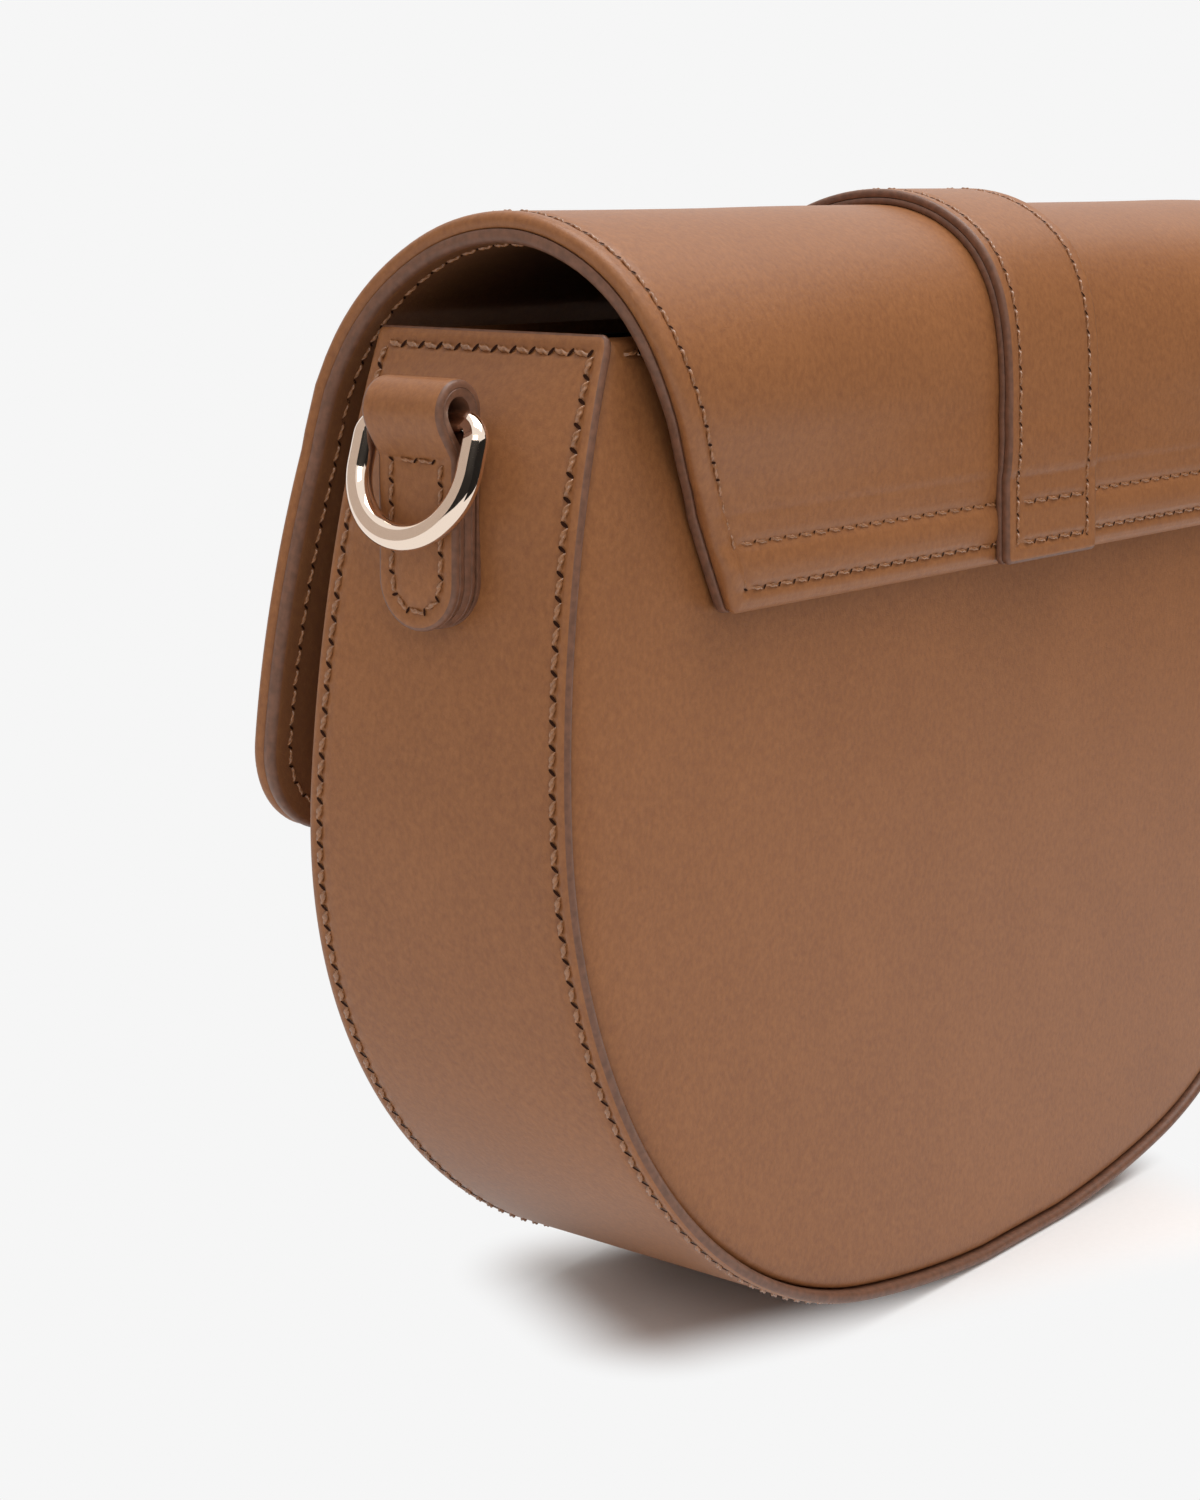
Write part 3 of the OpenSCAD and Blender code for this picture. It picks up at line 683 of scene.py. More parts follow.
def press(obj, rows, depth=PULL):
    """Presses the upper side of a flat piece down along lines, as the pull of the thread does."""
    reach = PULL_REACH
    segments = [(Vector(a), Vector(b)) for row in rows for a, b in zip(row, row[1:])]
    cells = {}
    size = 6.0
    for a, b in segments:
        across, up = (range(int((min(p, q) - reach) // size), int((max(p, q) + reach) // size) + 1)
                      for p, q in zip(a, b))
        for cell in ((i, j) for i in across for j in up):
            cells.setdefault(cell, []).append((a, b))
    for vertex in obj.data.vertices:
        if vertex.co.z <= 0:
            continue
        p = Vector((vertex.co.x / MM, vertex.co.y / MM))
        near = reach
        for a, b in cells.get((int(p.x // size), int(p.y // size)), ()):
            d = b - a
            t = min(max((p - a).dot(d) / max(d.length_squared, 1e-9), 0.0), 1.0)
            near = min(near, (p - a - d * t).length)
        if near < reach:
            vertex.co.z -= depth * MM * (1 - (near / reach) ** 2) ** 2
    return obj


# How a cut edge is rounded: steps inwards and up, as shares of the half thickness.
EDGE_ROUND = ((0.10, 0.42), (0.28, 0.33), (0.42, 0.18), (0.5, 0.07))


def edge_steps(half, paint, face, groove_at=0.0, painted=3):
    """Steps for one side of a piece of a half thickness: a cut edge painted and burnished round, then flat leather
    with rings to sink the stitches in."""
    steps = [(a * half, b * half, paint if i < painted else face) for i, (a, b) in enumerate(EDGE_ROUND)]
    at = sum(step[0] for step in steps)
    if groove_at:
        steps.append((groove_at - 0.9 - at, 0.0, face))
        steps += [(0.3, 0.0, face)] * 6
        steps.append((1.4, 0.0, face))
    return steps


def named(obj, nodes):
    """Hides the solids that a piece takes the place of."""
    if nodes:
        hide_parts(*nodes)
    return obj


def body_piece(obj, slot_name, *nodes, body="bag"):
    """Rides a piece on the bag or on one of its rings."""
    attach(obj, body)
    return named(obj, nodes)


# The gusset: one strip round both sides and the base

GUSSET_PATH = make_path("gusset_path", [(x, 0, z) for x, z in OUTLINE])
# How much fuller the body stands at its front, at which height, and how far up and down.
FULL = 0.055
FULL_Z = 62
FULL_REACH = 38


def fuller(obj):
    """The body stands a little fuller at its front, where the contents rest, than at its flat back."""
    for vertex in obj.data.vertices:
        if vertex.co.y < 0:
            vertex.co.y *= 1 + FULL * math.exp(-((vertex.co.z / MM - FULL_Z) / FULL_REACH) ** 2)
    return obj


def gusset_half(u, inset=0.0):
    """Half of the gusset's width at a place along it."""
    return half_depth(along(OUTLINE, OUTLINE_RUN, u)[1]) - inset


def strip_pattern(start, end, inset, corner=1.0):
    """A strip as wide as the body is deep, between two places along the outline."""
    stops = frange(start, end, 2.5)[1:-1]
    low = [(u, -gusset_half(u, inset)) for u in stops]
    w0, w1 = gusset_half(start, inset), gusset_half(end, inset)
    first = rounded_corner((start, 0), (start, -w0), low[0], corner, 2)
    last = rounded_corner(low[-1], (end, -w1), (end, 0), corner, 2)
    low = first + low + last
    high = [(u, -v) for u, v in low][::-1]
    ends = frange(-w1 + 3, w1 - 3, 3.0)
    starts = frange(w0 - 3, -w0 + 3, 3.0)
    return joined(low, [(end, v) for v in ends], high, [(start, v) for v in starts])


# How far the rows of stitches lie inside the gusset's long edges and inside the mouth's edge.
GUSSET_SEW = 2.3
MOUTH_SEW = 1.9
# Finer cuts where a strip is bent sharply or sewn across, by how far they lie from its end.
HEM_CUTS = [1.0, 1.3, 1.6, 1.9, 2.2, 2.5, 2.8]
# How far the sides swell at the tabs, at which height, and how far up and down.
SWELL = 4.2
SWELL_Z = 139.0
SWELL_REACH = 12.0


def bulge(obj):
    """The sides swell a little round the tabs, where the boards and the tab's rivet plate push them out."""
    for vertex in obj.data.vertices:
        x, y, z = (c / MM for c in vertex.co)
        if abs(x) < 90 or z < 100:
            continue
        up = math.exp(-((z - SWELL_Z) / SWELL_REACH) ** 2)
        across = max(0.0, 1 - (y / (half_depth(z) - 1.0)) ** 2) ** 1.3
        top = min(1.0, max(0.0, (MOUTH_Z - 0.5 - z) / 6.0))
        vertex.co.x += math.copysign(SWELL * up * across * top * MM, x)
    return obj


gusset = cut_piece("gusset_leather", strip_pattern(0, GUSSET_L, 0.0), (CALF, EDGE),
                   edge_steps(GUSSET_T / 2, 1, 0, GUSSET_SEW, 2), edge_steps(GUSSET_T / 2, 1, 0, 0, 4))
slice_piece(gusset, 0, HEM_CUTS + frange(4.0, GUSSET_L - 4.0, 2.5) + [GUSSET_L - d for d in HEM_CUTS[::-1]])
slice_piece(gusset, 1, frange(-16, 16, 2.5))
side_row = [(u, gusset_half(u, GUSSET_SEW)) for u in frange(MOUTH_SEW, GUSSET_L - MOUTH_SEW, 2.0)]
other_row = [(u, -v) for u, v in side_row]
mouth_half = gusset_half(0, GUSSET_SEW)
hem_rows = [[(u, v) for v in frange(-mouth_half, mouth_half, 3.0)] for u in (MOUTH_SEW, GUSSET_L - MOUTH_SEW)]
gusset_rows = [side_row, other_row] + hem_rows
press(gusset, gusset_rows)
bend(lift(gusset, -GUSSET_T / 2), GUSSET_PATH)
fuller(bulge(gusset))
# Its ends stand up over their hem rows.
for vertex in gusset.data.vertices:
    vertex.co.z += 0.9 * MM * min(1.0, max(0.0, vertex.co.z / MM - MOUTH_Z + 1.3))
body_piece(smooth(gusset), "tan_leather", "gusset")

gusset_thread = sew("gusset_stitches", gusset_rows, -THREAD_SUNK, thick=1.45, long=1.1)
fuller(bulge(bend(gusset_thread, GUSSET_PATH)))
# The bag stands on its base thread, which is pressed flat there.
for vertex in gusset_thread.data.vertices:
    vertex.co.z = max(vertex.co.z, 0.02 * MM)
body_piece(gusset_thread, "tan_leather")


# The back and front panels, pillowed where their edges turn in under the gusset

def panel_pattern(inset, top_z, step=3.0):
    """The outline of a panel or its lining, straight across the top."""
    line = [p for p in body_outline(inset) if p[1] < top_z - 0.3]
    half = along(OUTLINE, OUTLINE_RUN, MOUTH_Z - top_z)[0]
    half = abs(half) - inset
    return joined(line, [(half, top_z)], [(x, top_z) for x in frange(half - 3, -half + 3, step)], [(-half, top_z)])


# Steps inwards from a panel's edge, each with its rise.
PILLOW = [(0.05, 1.1), (0.12, 0.5), (0.3, 0.42), (0.6, 0.36), (1.0, 0.26), (1.8, 0.18), (3.0, 0.1), (5.0, 0.06),
          (8.0, 0.02)]
PILLOW_RISE = sum(step[1] for step in PILLOW)


def stand(obj, front, y_in):
    """Stands a flat piece drawn in X and height against the body's back or front face."""
    for vertex in obj.data.vertices:
        x, z, h = vertex.co
        y = (half_depth(z / MM) - y_in) * MM + h
        vertex.co = (x, y if not front else -y, z)
    return obj if front else turned_over(obj)


for front in (False, True):
    where = "front" if front else "back"
    panel = cut_piece(where + "_panel_leather", panel_pattern(GUSSET_T + 0.1, MOUTH_Z), (CALF, EDGE),
                      [(a, b, 0) for a, b in PILLOW], [(0.3, 0.2, 0)])
    slice_piece(panel, 1, [MOUTH_Z - d for d in HEM_CUTS[::-1]] + frange(12, 148, 8.0))
    slice_piece(panel, 0, frange(-104, 104, 8.0))
    hem_half = HALF_W - MOUTH_LEAN - 4.5
    hem = [[(x, MOUTH_Z - MOUTH_SEW) for x in frange(-hem_half, hem_half, 4.0)]]
    press(panel, hem)
    lift(panel, -PILLOW_RISE)
    body_piece(smooth(fuller(stand(panel, front, RECESS))), "tan_leather", where + "_panel")
    thread = sew(where + "_hem_stitches", hem, -THREAD_SUNK)
    body_piece(fuller(stand(thread, front, RECESS)), "tan_leather")


# The dark lining and the slip pocket

CLOTH_EDGE = [(0.1, 0.3, 0), (0.3, 0.1, 0)]
# How far inside the body's outline and faces the linings lie.
LINING_IN = 4.0


for front in (False, True):
    where = "front" if front else "back"
    pattern = panel_pattern(LINING_IN, MOUTH_Z - 2.0)
    lining = cut_piece(where + "_lining_cloth", pattern, (CLOTH,), CLOTH_EDGE, CLOTH_EDGE)
    slice_piece(lining, 1, frange(12, 148, 8.0))
    body_piece(smooth(fuller(stand(lining, front, LINING_IN))), "dark_lining", where + "_lining")

pattern = strip_pattern(2.0, GUSSET_L - 2.0, 4.5)
gusset_lining = cut_piece("gusset_lining_cloth", pattern, (CLOTH,), CLOTH_EDGE, CLOTH_EDGE)
slice_piece(gusset_lining, 0, frange(4.0, GUSSET_L - 4.0, 2.5))
body_piece(smooth(fuller(bend(lift(gusset_lining, -4.4), GUSSET_PATH))), "dark_lining", "gusset_lining")


def box_pattern(half_w, low, high, r):
    """A rectangle with round corners."""
    corners = [(-half_w, low), (half_w, low), (half_w, high), (-half_w, high)]
    out = []
    for i, at in enumerate(corners):
        out += rounded_corner(corners[i - 1], at, corners[(i + 1) % 4], r, 4)
    return out


POCKET_HALF_W = 55
POCKET_TOP = MOUTH_Z - 22
POCKET_H = 72
pocket_back = [(0.1, 0.3, 1), (0.4, 0.1, 0)]
pocket_face = pocket_back + [(2.5, 0, 0), (2.5, 0.0, 0), (1.0, 0.0, 0), (2.0, 0.3, 0), (3.0, 0.3, 0)]
pocket = cut_piece("slip_pocket_leather", box_pattern(POCKET_HALF_W, POCKET_TOP - POCKET_H, POCKET_TOP, 3.0),
                   (CLOTH, EDGE), pocket_face, pocket_back)
pocket.data.transform(Matrix.Diagonal((1, 1, -1, 1)))
for vertex in pocket.data.vertices:
    vertex.co.z -= 0.45 * MM
smooth(stand(pocket, False, 4.5))
body_piece(turned_out(pocket), "dark_lining", "slip_pocket")


# The flap: outer leather with a rounded edge, over a lining whose cut edge is painted

FLAP_PATH = make_path("flap_path", [(0, y, z) for y, z in PROFILE])


def curving(height):
    """How much longer leather lies at a height over the flap's path than on the flat."""
    def factor(u):
        before = along(PROFILE, PROFILE_RUN, u - 1.5)
        here = along(PROFILE, PROFILE_RUN, u)
        after = along(PROFILE, PROFILE_RUN, u + 1.5)
        a = math.atan2(here[1] - before[1], here[0] - before[0])
        b = math.atan2(after[1] - here[1], after[0] - here[0])
        turn = (b - a + math.pi) % (2 * math.pi) - math.pi
        return 1.0 + height * turn / 1.5
    return factor


def flap_piece(obj, slot_name, *nodes):
    """Puts a piece's place into its mesh and hides the solids that it takes the place of."""
    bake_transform(obj)
    return named(obj, nodes)


# How far the flap's rows of stitches lie from its sides and, at the seat, from its back edge.
SIDE_SEW = 3.5
SEAT_SEWS = (3.3, 9.7)
# Where the flap is cut across so that it can bend: finely at the hinge and over the arch.
FLAP_CUTS = frange(1.0, 8.0, 0.5) + frange(8.6, 24, 0.6) + frange(25.4, 104, 1.6) + frange(108, 176, 6.0)
FLAP_STRIPS = frange(-115, 115, 7.5)
# The stitches across the seat are this much longer than those along the flap's sides and the band's.
ROW_STRETCH = 1.22


def puff(obj):
    """The sewn strip along the seat swells between its two rows of stitches."""
    low, high = SEAT_SEWS
    for vertex in obj.data.vertices:
        if vertex.co.z <= 0:
            continue
        s, v = vertex.co.x / MM - LEAD, abs(vertex.co.y / MM)
        if low < s < high:
            vertex.co.z += 0.55 * MM * math.sin(math.pi * (s - low) / (high - low)) ** 0.8
        elif s <= low:
            vertex.co.z -= 0.35 * MM * (1 - s / low) ** 2
        else:
            vertex.co.z += 0.35 * MM * math.exp(-((s - high - 4.5) / 3.5) ** 2)
    return obj


# How far the flap lies inside its profile at the middle of the bag, by height, where the band holds it to the panel.
DRAWN_IN = [(133.5, 0.0), (138, 0.75), (143, 1.95), (149, 2.7), (155, 2.5), (162, 1.5), (168, 0.5), (174, 0.0),
            (185, 0.0)]
# How far the crest stands over its profile along the bag: the hide is stiffer on one side.
CREST = [(-125, 0.8), (-112, 1.3), (-90, 1.8), (-60, 1.4), (0, 0.8), (24, 0.6), (50, 0.3), (66, 0.0), (100, -0.3),
         (125, -0.3)]


def settle(obj):
    """Lays a bent piece of the flap as it lies on the bag: drawn in at the middle of the back, risen at the crest."""
    for vertex in obj.data.vertices:
        x, y, z = (c / MM for c in vertex.co)
        if z < HINGE_Z + 1.0:
            continue
        middle = math.cos(math.pi / 2 * min(abs(x) / 95.0, 1.0)) ** 2
        back = min(1.0, max(0.0, (y + 4.0) / 14.0))
        top = min(1.0, max(0.0, (z - 146.0) / 24.0))
        vertex.co.y -= eased(DRAWN_IN, z) * middle * back * back * (3 - 2 * back) * MM
        vertex.co.z += eased(CREST, x) * top * top * (3 - 2 * top) * MM
    return obj


def shifted(points, du):
    """Points of a pattern moved along its path."""
    return [(u + du, v) for u, v in points]


side_sewing = [p for p in offset_run(flap_side(), -SIDE_SEW) if p[0] > SEAT_SEWS[0]]
ring_row = shifted([(SEAT_SEWS[0], side_sewing[0][1])] + side_sewing[:-1]
                   + [(s, -v) for s, v in side_sewing[::-1]][1:] + [(SEAT_SEWS[0], -side_sewing[0][1])], LEAD)
seat_rows = []
for s in SEAT_SEWS:
    half = min(side_sewing, key=lambda p: abs(p[0] - s))[1] - 1.0
    seat_rows.append([(s + LEAD, v) for v in frange(-half, half, 4.0)])
flap_rows = [ring_row] + seat_rows


def laid(obj, height):
    """Bends a piece of the flap at a height over the flap's path and lays it on the bag."""
    return settle(bend(lift(obj, height), FLAP_PATH))


flap_cuts = [s + LEAD for s in FLAP_CUTS]
flap = cut_piece("flap_leather", shifted(flap_pattern(), LEAD), (CALF, EDGE),
                 edge_steps(FLAP_T / 2, 0, 0, SIDE_SEW), [(0.12, 0.5, 0), (0.2, 0.45, 0), (0.3, 0.25, 0)])
slice_piece(flap, 0, flap_cuts)
slice_piece(flap, 1, FLAP_STRIPS)
press(puff(flap), flap_rows, FLAP_PULL)
flap_piece(smooth(laid(flap, FLAP_T / 2)), "tan_leather", "flap_outer", "flap_seat")

flap_lining = cut_piece("flap_lining_leather", shifted(flap_pattern(), LEAD), (LINING_CALF, EDGE),
                        [(0.08, 0.75, 1), (0.15, 0.25, 1)], edge_steps(LINING_T / 2, 1, 0))
slice_piece(flap_lining, 0, flap_cuts)
slice_piece(flap_lining, 1, FLAP_STRIPS)
flap_piece(smooth(laid(flap_lining, -LINING_T / 2)), "backing_leather", "flap_lining", "flap_seat_lining")

flap_thread = sew("flap_stitches", flap_rows, FLAP_T - FLAP_PULL + THREAD_LIFT, curving(FLAP_T), cross=ROW_STRETCH)
flap_piece(settle(bend(flap_thread, FLAP_PATH)), "tan_leather")
flap_under = sew("flap_lining_stitches", [ring_row], -LINING_T, curving(-LINING_T), -1)
flap_piece(settle(bend(flap_under, FLAP_PATH)), "backing_leather")


# The centre band, from the seat over the arch to its round end on the front

BAND_START = 0.1
BAND_END = s_at_front(FRONT_EDGE_Z + 4.0)
# The band is sewn on a little nearer to the right ring than to the left one.
BAND_X = 3.2


def band_pattern():
    """The band's outline, from its square end at the seat to its round tip."""
    half = BAND_W / 2
    centre = BAND_END - half
    low = rounded_corner((BAND_START, 0), (BAND_START, -half), (centre, -half), 1.2, 3)
    low += [(s, -half) for s in frange(4, centre, 4.0)]
    tip = arc(centre, 0, half, -90, 90, 1.6)
    high = [(s, -v) for s, v in low][::-1]
    back = [(BAND_START, v) for v in (9, 4.5, 0, -4.5, -9)]
    return shifted(joined(low, tip, high, back), LEAD)


def aside(obj):
    """Moves a piece of the band to its place beside the middle."""
    obj.data.transform(Matrix.Translation((0, BAND_X * MM, 0)))
    return obj


BAND_SEW = 3.1
band_cuts = [s + LEAD for s in FLAP_CUTS if s < BAND_END - 1]
side_v = BAND_W / 2 - BAND_SEW
tip_centre = BAND_END - BAND_W / 2
band_first = BAND_START + 2.6 + LEAD
band_row = ([(s + LEAD, -side_v) for s in frange(BAND_START + 2.6, tip_centre, 2.5)]
            + shifted(arc(tip_centre, 0, side_v, -90, 90, 1.5), LEAD)[1:]
            + [(band_first, side_v)])
band_rows = [band_row] + [[(s + LEAD, v) for v in (-side_v + 1.5, 0, side_v - 1.5)] for s in SEAT_SEWS]
BAND_STRIPS = [-6, 0, 6]
band = cut_piece("band_leather", band_pattern(), (CALF, EDGE),
                 edge_steps(BAND_FACE_T / 2, 1, 0, BAND_SEW), [(0.05, 0.4, 1), (0.12, 0.25, 1)])
slice_piece(band, 0, band_cuts)
slice_piece(band, 1, BAND_STRIPS)
press(band, band_rows, BAND_PULL)
flap_piece(smooth(laid(aside(band), (BAND_FACE_IN + BAND_OUT) / 2)), "tan_leather", "centre_band", "band_seat")
backing_edge = [(0.05, 0.35, 1), (0.12, 0.15, 1)]
band_back = cut_piece("band_backing_leather", band_pattern(), (LINING_CALF, EDGE), backing_edge, backing_edge)
slice_piece(band_back, 0, band_cuts)
slice_piece(band_back, 1, BAND_STRIPS)
flap_piece(smooth(laid(aside(band_back), (BAND_IN + BAND_FACE_IN - 0.1) / 2)), "backing_leather", "band_backing",
           "band_seat_backing")
band_thread = sew("band_stitches", band_rows, BAND_OUT - BAND_PULL + THREAD_LIFT, curving(BAND_OUT),
                  cross=ROW_STRETCH)
flap_piece(settle(bend(aside(band_thread), FLAP_PATH)), "tan_leather")


# The tabs, each a strip rolled round its ring's bar, over a packing piece

def mirrored(obj, name):
    """A copy on the other side of the bag, with its own mesh."""
    pick(obj)
    bpy.ops.object.duplicate()
    copy = bpy.context.object
    copy.name = copy.data.name = name
    copy.data.transform(Matrix.Diagonal((-1, 1, 1, 1)))
    return turned_over(copy)


# The strip is two layers glued together, and stands off its bar in a wide roll.
DOUBLE_T = 2.3
ROLL_R = 3.35
ROLL_Z = BAR_Z + 1.2
BACK_LEG_IN = 1.75
# How the strip's legs open under the roll: a height from the bar, and the share of the roll's width.
flare = [(-5.0, 0.0), (-4.4, 0.06), (-3.9, 0.14), (-3.2, 0.29), (-2.5, 0.44), (-1.7, 0.61), (-0.9, 0.77),
         (-0.2, 0.88), (0.5, 0.96)]
front_leg = [(0.63, TIP_Z), (0.6, BAR_Z - 6.0)] + [(0.6 + 3.25 * k, BAR_Z + z) for z, k in flare]
back_leg = ([(-BACK_LEG_IN - 1.1 * k, BAR_Z + z) for z, k in flare[::-1]]
            + [(-BACK_LEG_IN, BAR_Z - 6.0), (-BACK_LEG_IN, TIP_Z)])
TAB_LINE = [(FOLD_X + x, 0, z) for x, z in joined(front_leg, arc(0.5, ROLL_Z, ROLL_R, 0, 180, 0.5), back_leg)]
TAB_L = lengths(TAB_LINE)[-1]
TAB_PATH = make_path("tab_path", TAB_LINE)
half = STRIP_W / 2
tab_pattern = joined(arc(half, 0, half, 90, 270, 0.8), [(u, -half) for u in frange(half + 3, TAB_L - half - 3, 3.0)],
                     arc(TAB_L - half, 0, half, -90, 90, 0.8), [(TAB_L - half - 3, half), (half + 3, half)])
TAB_SEW_V = 4.4
roll_u = BAR_Z - TIP_Z - 5.2
tab_row = ([(roll_u, TAB_SEW_V), (half, TAB_SEW_V)] + arc(half, 0, TAB_SEW_V, 90, 270, 1.0)[1:]
           + [(u, -TAB_SEW_V) for u in frange(half, roll_u, 2.5)][1:])
tab_rows = [tab_row, [(roll_u, -TAB_SEW_V + 1.2), (roll_u, 0), (roll_u, TAB_SEW_V - 1.2)]]
tab = cut_piece("tab_strip_leather_right", tab_pattern, (CALF, EDGE),
                [(-0.12, 0.12, 1), (0.0, 0.35, 1)] + edge_steps(0.68, 1, 0, half - TAB_SEW_V + 0.12),
                [(-0.12, 0.12, 1), (0.06, 0.6, 1), (0.2, 0.43, 1)])
leg = BAR_Z - TIP_Z
slice_piece(tab, 0, frange(3, leg - 7, 3.0) + frange(leg - 6.5, TAB_L - leg + 6.5, 0.45)
            + frange(TAB_L - leg + 7, TAB_L - 3, 3.0))
slice_piece(tab, 1, [-2, 0, 2])
press(tab, tab_rows)
body_piece(smooth(bend(tab, TAB_PATH)), "tan_leather", "tab_strip_right")
body_piece(mirrored(tab, "tab_strip_leather_left"), "tan_leather", "tab_strip_left")
tab_thread = sew("tab_stitches_right", tab_rows, DOUBLE_T / 2 - THREAD_SUNK, thick=1.15)
body_piece(bend(tab_thread, TAB_PATH), "tan_leather")
body_piece(mirrored(tab_thread, "tab_stitches_left"), "tan_leather")


def side_x(z):
    """The body's side at a height."""
    if z >= WIDEST_Z:
        return HALF_W - SIDE_R + math.sqrt(SIDE_R ** 2 - (z - WIDEST_Z) ** 2)
    return CORNER_X + math.sqrt(max(CORNER_R ** 2 - (z - WIDEST_Z) ** 2, 0.0))


grow = half + 0.1
low_z, high_z = TIP_Z - 0.1, BAR_Z - 5.5
packing_edge = [(0.03, 0.9, 1), (0.1, 0.1, 1)]
packing = cut_piece("tab_packing_right", joined(arc(0, low_z + grow, grow, 180, 360, 0.9),
                                                [(grow, z) for z in frange(low_z + grow + 3, high_z, 3.0)],
                                                [(-grow, high_z), (-grow, low_z + grow + 3)]),
                    (LINING_CALF, EDGE), packing_edge, packing_edge)
slice_piece(packing, 1, frange(low_z + 2, high_z - 2, 2.5))
slice_piece(packing, 0, [-4, 0, 4])
for vertex in packing.data.vertices:
    y, z, h = (c / MM for c in vertex.co)
    t = (h + 1.0) / 2.0
    inner = side_x(z) + SWELL * math.exp(-((z - SWELL_Z) / SWELL_REACH) ** 2) - 0.4
    outer = FOLD_X - BACK_LEG_IN - DOUBLE_T / 2 - 0.05
    vertex.co = ((inner + max(outer - inner, 0.3) * t) * MM, y * MM, z * MM)
body_piece(smooth(turned_out(packing)), "backing_leather", "tab_backing_right")
body_piece(mirrored(packing, "tab_packing_left"), "backing_leather", "tab_backing_left")


# The rings: cast with a flat face and round flanks, and slimmer where the bar runs through its roll

# Their opening, the stock's width and depth, and their reach from the bar, in millimetres.
RING_IN = 15.6
RING_W = 3.8
RING_D = 3.2
RING_REACH = 18.0
BOW_R = (RING_IN + RING_W) / 2
BOW_DROP = RING_REACH - RING_IN / 2 - RING_W
BEND_R = (RING_IN - STRIP_W) / 2 - 0.3 + RING_W / 2
LEAN_REACH = BOW_DROP + math.sqrt((RING_IN / 2 + 0.9) ** 2 - (STRIP_W / 2) ** 2)
RING_TILT = math.atan2(RING_D / 2, LEAN_REACH) + math.asin((STRIP_T + 0.3) / math.hypot(LEAN_REACH, RING_D / 2))


def ring_section():
    """Half across the stock and half through it, as (a, b), anticlockwise."""
    flank = [(-1.18 + 3.08 * math.cos(math.radians(t)), 1.57 * math.sin(math.radians(t)) / math.sin(math.radians(50)))
             for t in range(-50, 51, 10)]
    side = [(0.74, -RING_D / 2)] + flank + [(0.74, RING_D / 2)]
    return side + [(-a, -b) for a, b in side]


def ring_stations():
    """The stock's section at places round the ring, the bar along Y at the origin and the bow below."""
    shoulder = BOW_R - BEND_R
    half = ([(y, 0.0) for y in frange(0, shoulder, 1.0)][:-1]
            + arc(shoulder, -BEND_R, BEND_R, 90, 0, 0.35)
            + [(BOW_R, z) for z in frange(-BEND_R, -BOW_DROP, 1.0)][1:-1]
            + arc(0, -BOW_DROP, BOW_R, 0, -90, 0.6))
    line = half + [(-y, z) for y, z in half[::-1]][1:]
    out = []
    for i, (y, z) in enumerate(line):
        before, after = line[max(i - 1, 0)], line[min(i + 1, len(line) - 1)]
        if i in (0, len(line) - 1):
            before, after = (-1.0, 0.0), (1.0, 0.0)
        dy, dz = after[0] - before[0], after[1] - before[1]
        size = math.hypot(dy, dz)
        ny, nz = -dz / size, dy / size
        slim = min(1.0, max(0.0, (-z) / BEND_R))
        k = 0.84 + 0.16 * slim * slim * (3 - 2 * slim)
        points = []
        for a, b in ring_section():
            px, py, pz = b * k, y + ny * a * k, z + nz * a * k
            points.append((FOLD_X + px * math.cos(RING_TILT) - pz * math.sin(RING_TILT), py,
                           BAR_Z + px * math.sin(RING_TILT) + pz * math.cos(RING_TILT)))
        out.append(points)
    return out


def drawn(name, stations, mat):
    """Extrudes a section from station to station; the last one meets the first."""
    obj = numbered(name, stations[0], "NOTHING", (mat,))
    for station in stations[1:]:
        bpy.ops.mesh.extrude_region_move()
        mesh = bmesh.from_edit_mesh(obj.data)
        number = mesh.verts.layers.int["number"]
        for vertex in mesh.verts:
            if vertex.select:
                vertex.co = Vector(station[vertex[number]]) * MM
        bmesh.update_edit_mesh(obj.data)
    bpy.ops.mesh.select_all(action="SELECT")
    bpy.ops.mesh.remove_doubles(threshold=0.01 * MM)
    bpy.ops.mesh.normals_make_consistent(inside=False)
    return closed(obj)


ring = smooth(drawn("gold_ring_right", ring_stations(), GOLD), 17)
body_piece(ring, "pale_gold", "d_ring_right", body="ring_right")
body_piece(mirrored(ring, "gold_ring_left"), "pale_gold", "d_ring_left", body="ring_left")


# Nodes that stay as the solids made them

for name in ("snap_socket", "snap_socket_washer", "snap_stud", "snap_stud_washer", "gusset_board", "back_board",
             "front_board", "flap_board"):
    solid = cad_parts[name]
    mat = SNAP_GOLD if name.startswith("snap") else BOARD
    if not solid.data.materials:
        solid.data.materials.append(mat)
    for slot in solid.material_slots:
        slot.material = mat


# Floor, light and camera

PAPER = rgb("#f6f6f6")


def looked_at(tree):
    """1 for the rays of the camera, of mirrors and of glass, which see the paper at its written colour."""
    rays = node(tree, "LightPath").outputs
    either = node(tree, "Math", {0: rays["Is Camera Ray"], 1: rays["Is Glossy Ray"]}, operation="MAXIMUM")
    return node(tree, "Math", {0: either, 1: rays["Is Transmission Ray"]}, operation="MAXIMUM").outputs[0]


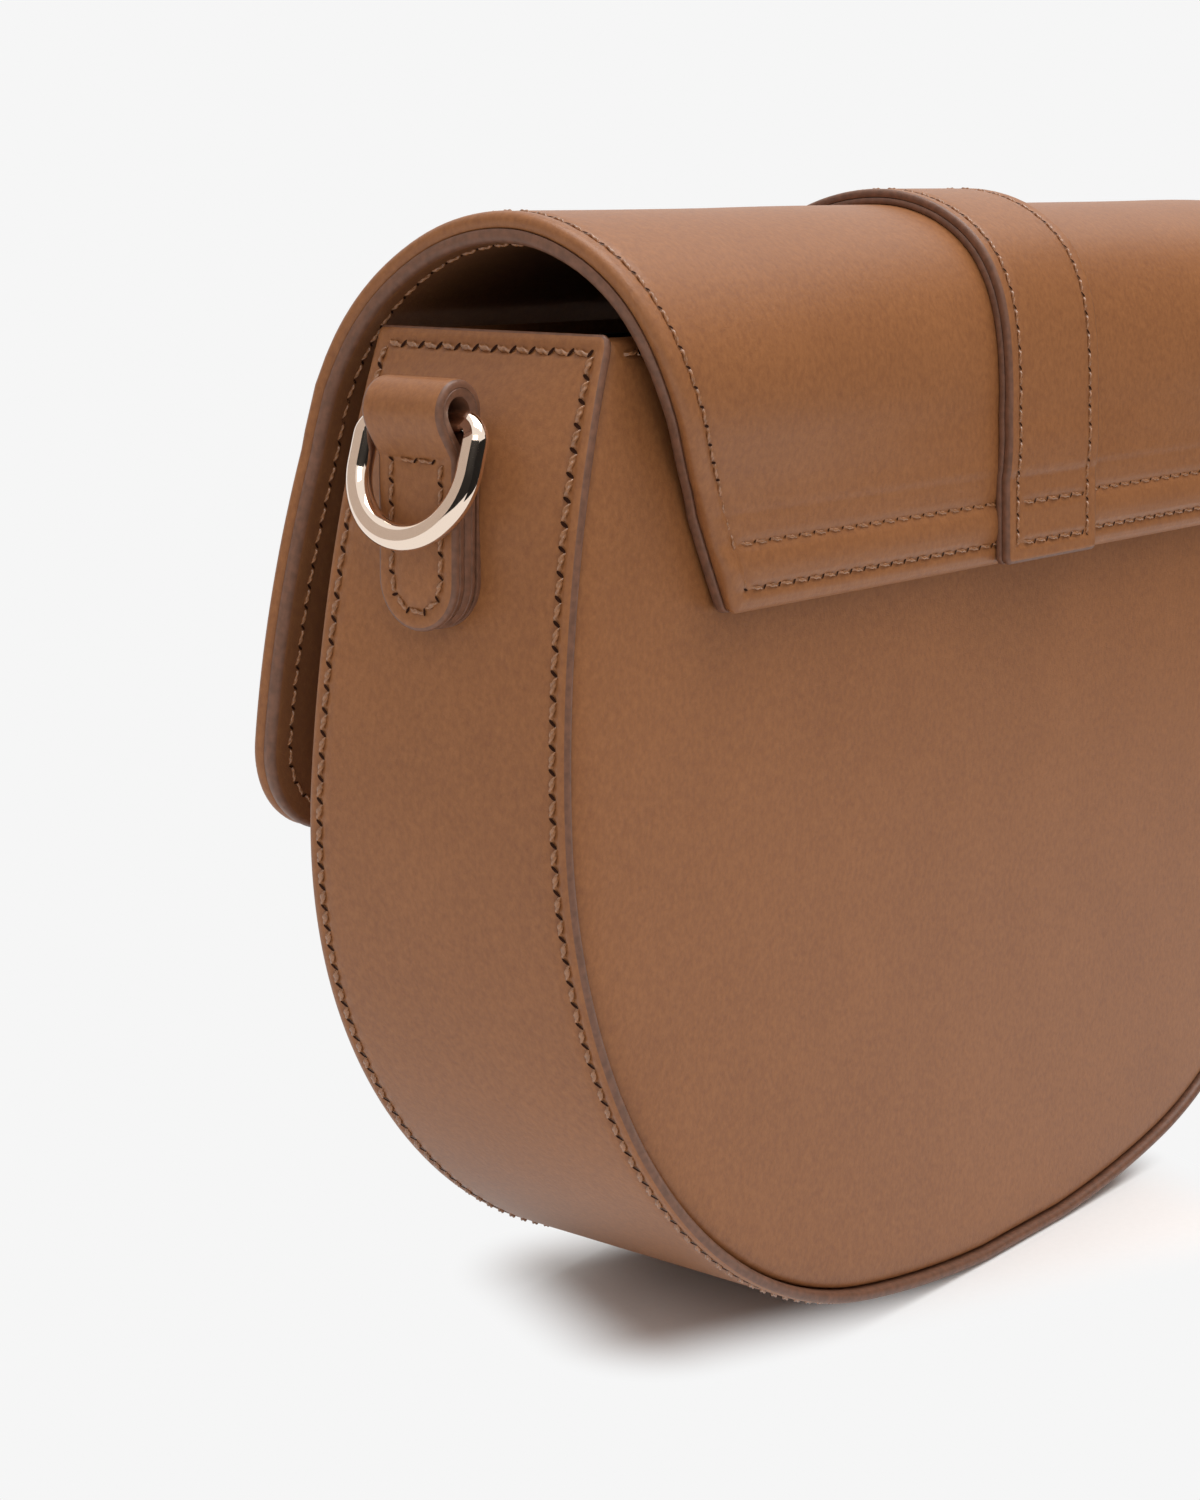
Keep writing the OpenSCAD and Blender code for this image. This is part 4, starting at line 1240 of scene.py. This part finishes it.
def floor_finish():
    """A seamless sweep of matt paper, near white; only beside the bag does it show the bag's shadow."""
    mat, tree, shader, place = finish("matt_paper", 0.95)
    tooth = node(tree, "TexNoise", {"Vector": place, "Scale": 900.0, "Detail": 2.0})
    tint = ramp(tree, tooth.outputs["Fac"], [(0.3, "#f5f5f5"), (0.7, "#f7f7f7")])
    tree.links.new(tint, shader.inputs["Base Color"])
    under = node(tree, "Mapping", {"Vector": place, "Location": (-0.012, -0.0155, 0.0),
                                   "Rotation": (0.0, 0.0, 0.415)})
    apart = node(tree, "VectorMath", {0: under}, operation="ABSOLUTE")
    outside = node(tree, "VectorMath", {0: apart.outputs[0], 1: (0.052, 0.013, 0.0)}, operation="SUBTRACT")
    beyond = node(tree, "VectorMath", {0: outside.outputs[0], 1: (0.0, 0.0, 0.0)}, operation="MAXIMUM")
    away = node(tree, "VectorMath", {0: beyond.outputs[0]}, operation="LENGTH")
    far = node(tree, "MapRange", {"Value": away.outputs["Value"], "From Min": 0.0, "From Max": 0.022},
               interpolation_type="SMOOTHSTEP")
    share = node(tree, "Math", {0: far.outputs["Result"], 1: looked_at(tree)}, operation="MULTIPLY")
    sweep = node(tree, "Emission", {"Color": PAPER, "Strength": 1.0})
    mixed = node(tree, "MixShader", {0: share.outputs[0], 1: shader.outputs[0], 2: sweep.outputs[0]})
    tree.links.new(mixed.outputs[0], tree.nodes["Material Output"].inputs["Surface"])
    return mat


# The floor lies a hair lower than the bag's base.
started("floor", (floor_finish(),), bpy.ops.mesh.primitive_plane_add, size=8.0, location=(0, 0, -0.05 * MM))


def card(name, colour, azimuth, away, width, height):
    """A board on the floor out of the picture, facing the bag, for the metal to mirror; it shades nothing."""
    angle = math.radians(azimuth)
    board = started(name, (plain(name, colour, 0.9),), bpy.ops.mesh.primitive_plane_add, size=1.0,
                    location=(away * math.cos(angle), away * math.sin(angle), height / 2),
                    rotation=(math.pi / 2, 0, angle - math.pi / 2))
    board.scale = (width, height, 1.0)
    board.visible_camera = board.visible_diffuse = board.visible_shadow = False


# Matt black boards behind the bag's back, and a pale board in the shade on its right.
card("black_board", "#0d0c0b", 84, 0.34, 0.5, 0.26)
card("black_screen", "#151311", 152, 0.62, 0.75, 0.5)
card("black_curtain", "#151311", 28, 0.75, 0.95, 0.5)
card("shaded_board", "#cabfb8", -44, 1.0, 0.9, 0.7)

world = bpy.data.worlds.new("studio")
bpy.context.scene.world = world
world.use_nodes = True
tree = world.node_tree
sky = tree.nodes["Background"]
sky.inputs["Color"].default_value = rgb("#fffaf5")
sky.inputs["Strength"].default_value = 0.48
paper = node(tree, "Background", {"Color": PAPER, "Strength": 1.0})
either = node(tree, "MixShader", {0: looked_at(tree), 1: sky.outputs[0], 2: paper.outputs[0]})
tree.links.new(either.outputs[0], tree.nodes["World Output"].inputs["Surface"])


def lamp(name, place, aim, size, power):
    """A softbox, aimed at a place."""
    data = bpy.data.lights.new(name, "AREA")
    data.shape = "RECTANGLE"
    data.size, data.size_y = size
    data.energy = power
    way = Vector(aim) - Vector(place)
    added(name, data).matrix_world = Matrix.Translation(place) @ way.to_track_quat("-Z", "Y").to_matrix().to_4x4()


lamp("overhead_softbox", (-0.18, 0.22, 1.4), (0, 0, 0.08), (1.1, 1.1), 17.5)
lamp("side_fill", (1.0, 0.75, 0.9), (0, 0, 0.08), (0.6, 0.6), 2.5)

scene = bpy.context.scene
scene.view_settings.view_transform = "Standard"

YAW, PITCH, ROLL = (math.radians(a) for a in (51.68, 11.34, 0.45))
CAMERA = Vector((0.3988, 0.2482, 0.1755))
forward = Vector((-math.cos(PITCH) * math.sin(YAW), -math.cos(PITCH) * math.cos(YAW), -math.sin(PITCH)))
right = Vector((-math.cos(YAW), math.sin(YAW), 0))
up = right.cross(forward)
right, up = (right * math.cos(ROLL) + up * math.sin(ROLL)), (up * math.cos(ROLL) - right * math.sin(ROLL))
lens = bpy.data.cameras.new("camera")
lens.lens = 66.41
lens.sensor_width = 36.0
camera = added("camera", lens)
camera.matrix_world = Matrix.Translation(CAMERA) @ Matrix((right, up, -forward)).transposed().to_4x4()
scene.camera = camera

for spare in (GUSSET_PATH, FLAP_PATH, TAB_PATH, STITCH_SHAPE, HOLE_SHAPE):
    bpy.data.objects.remove(spare)
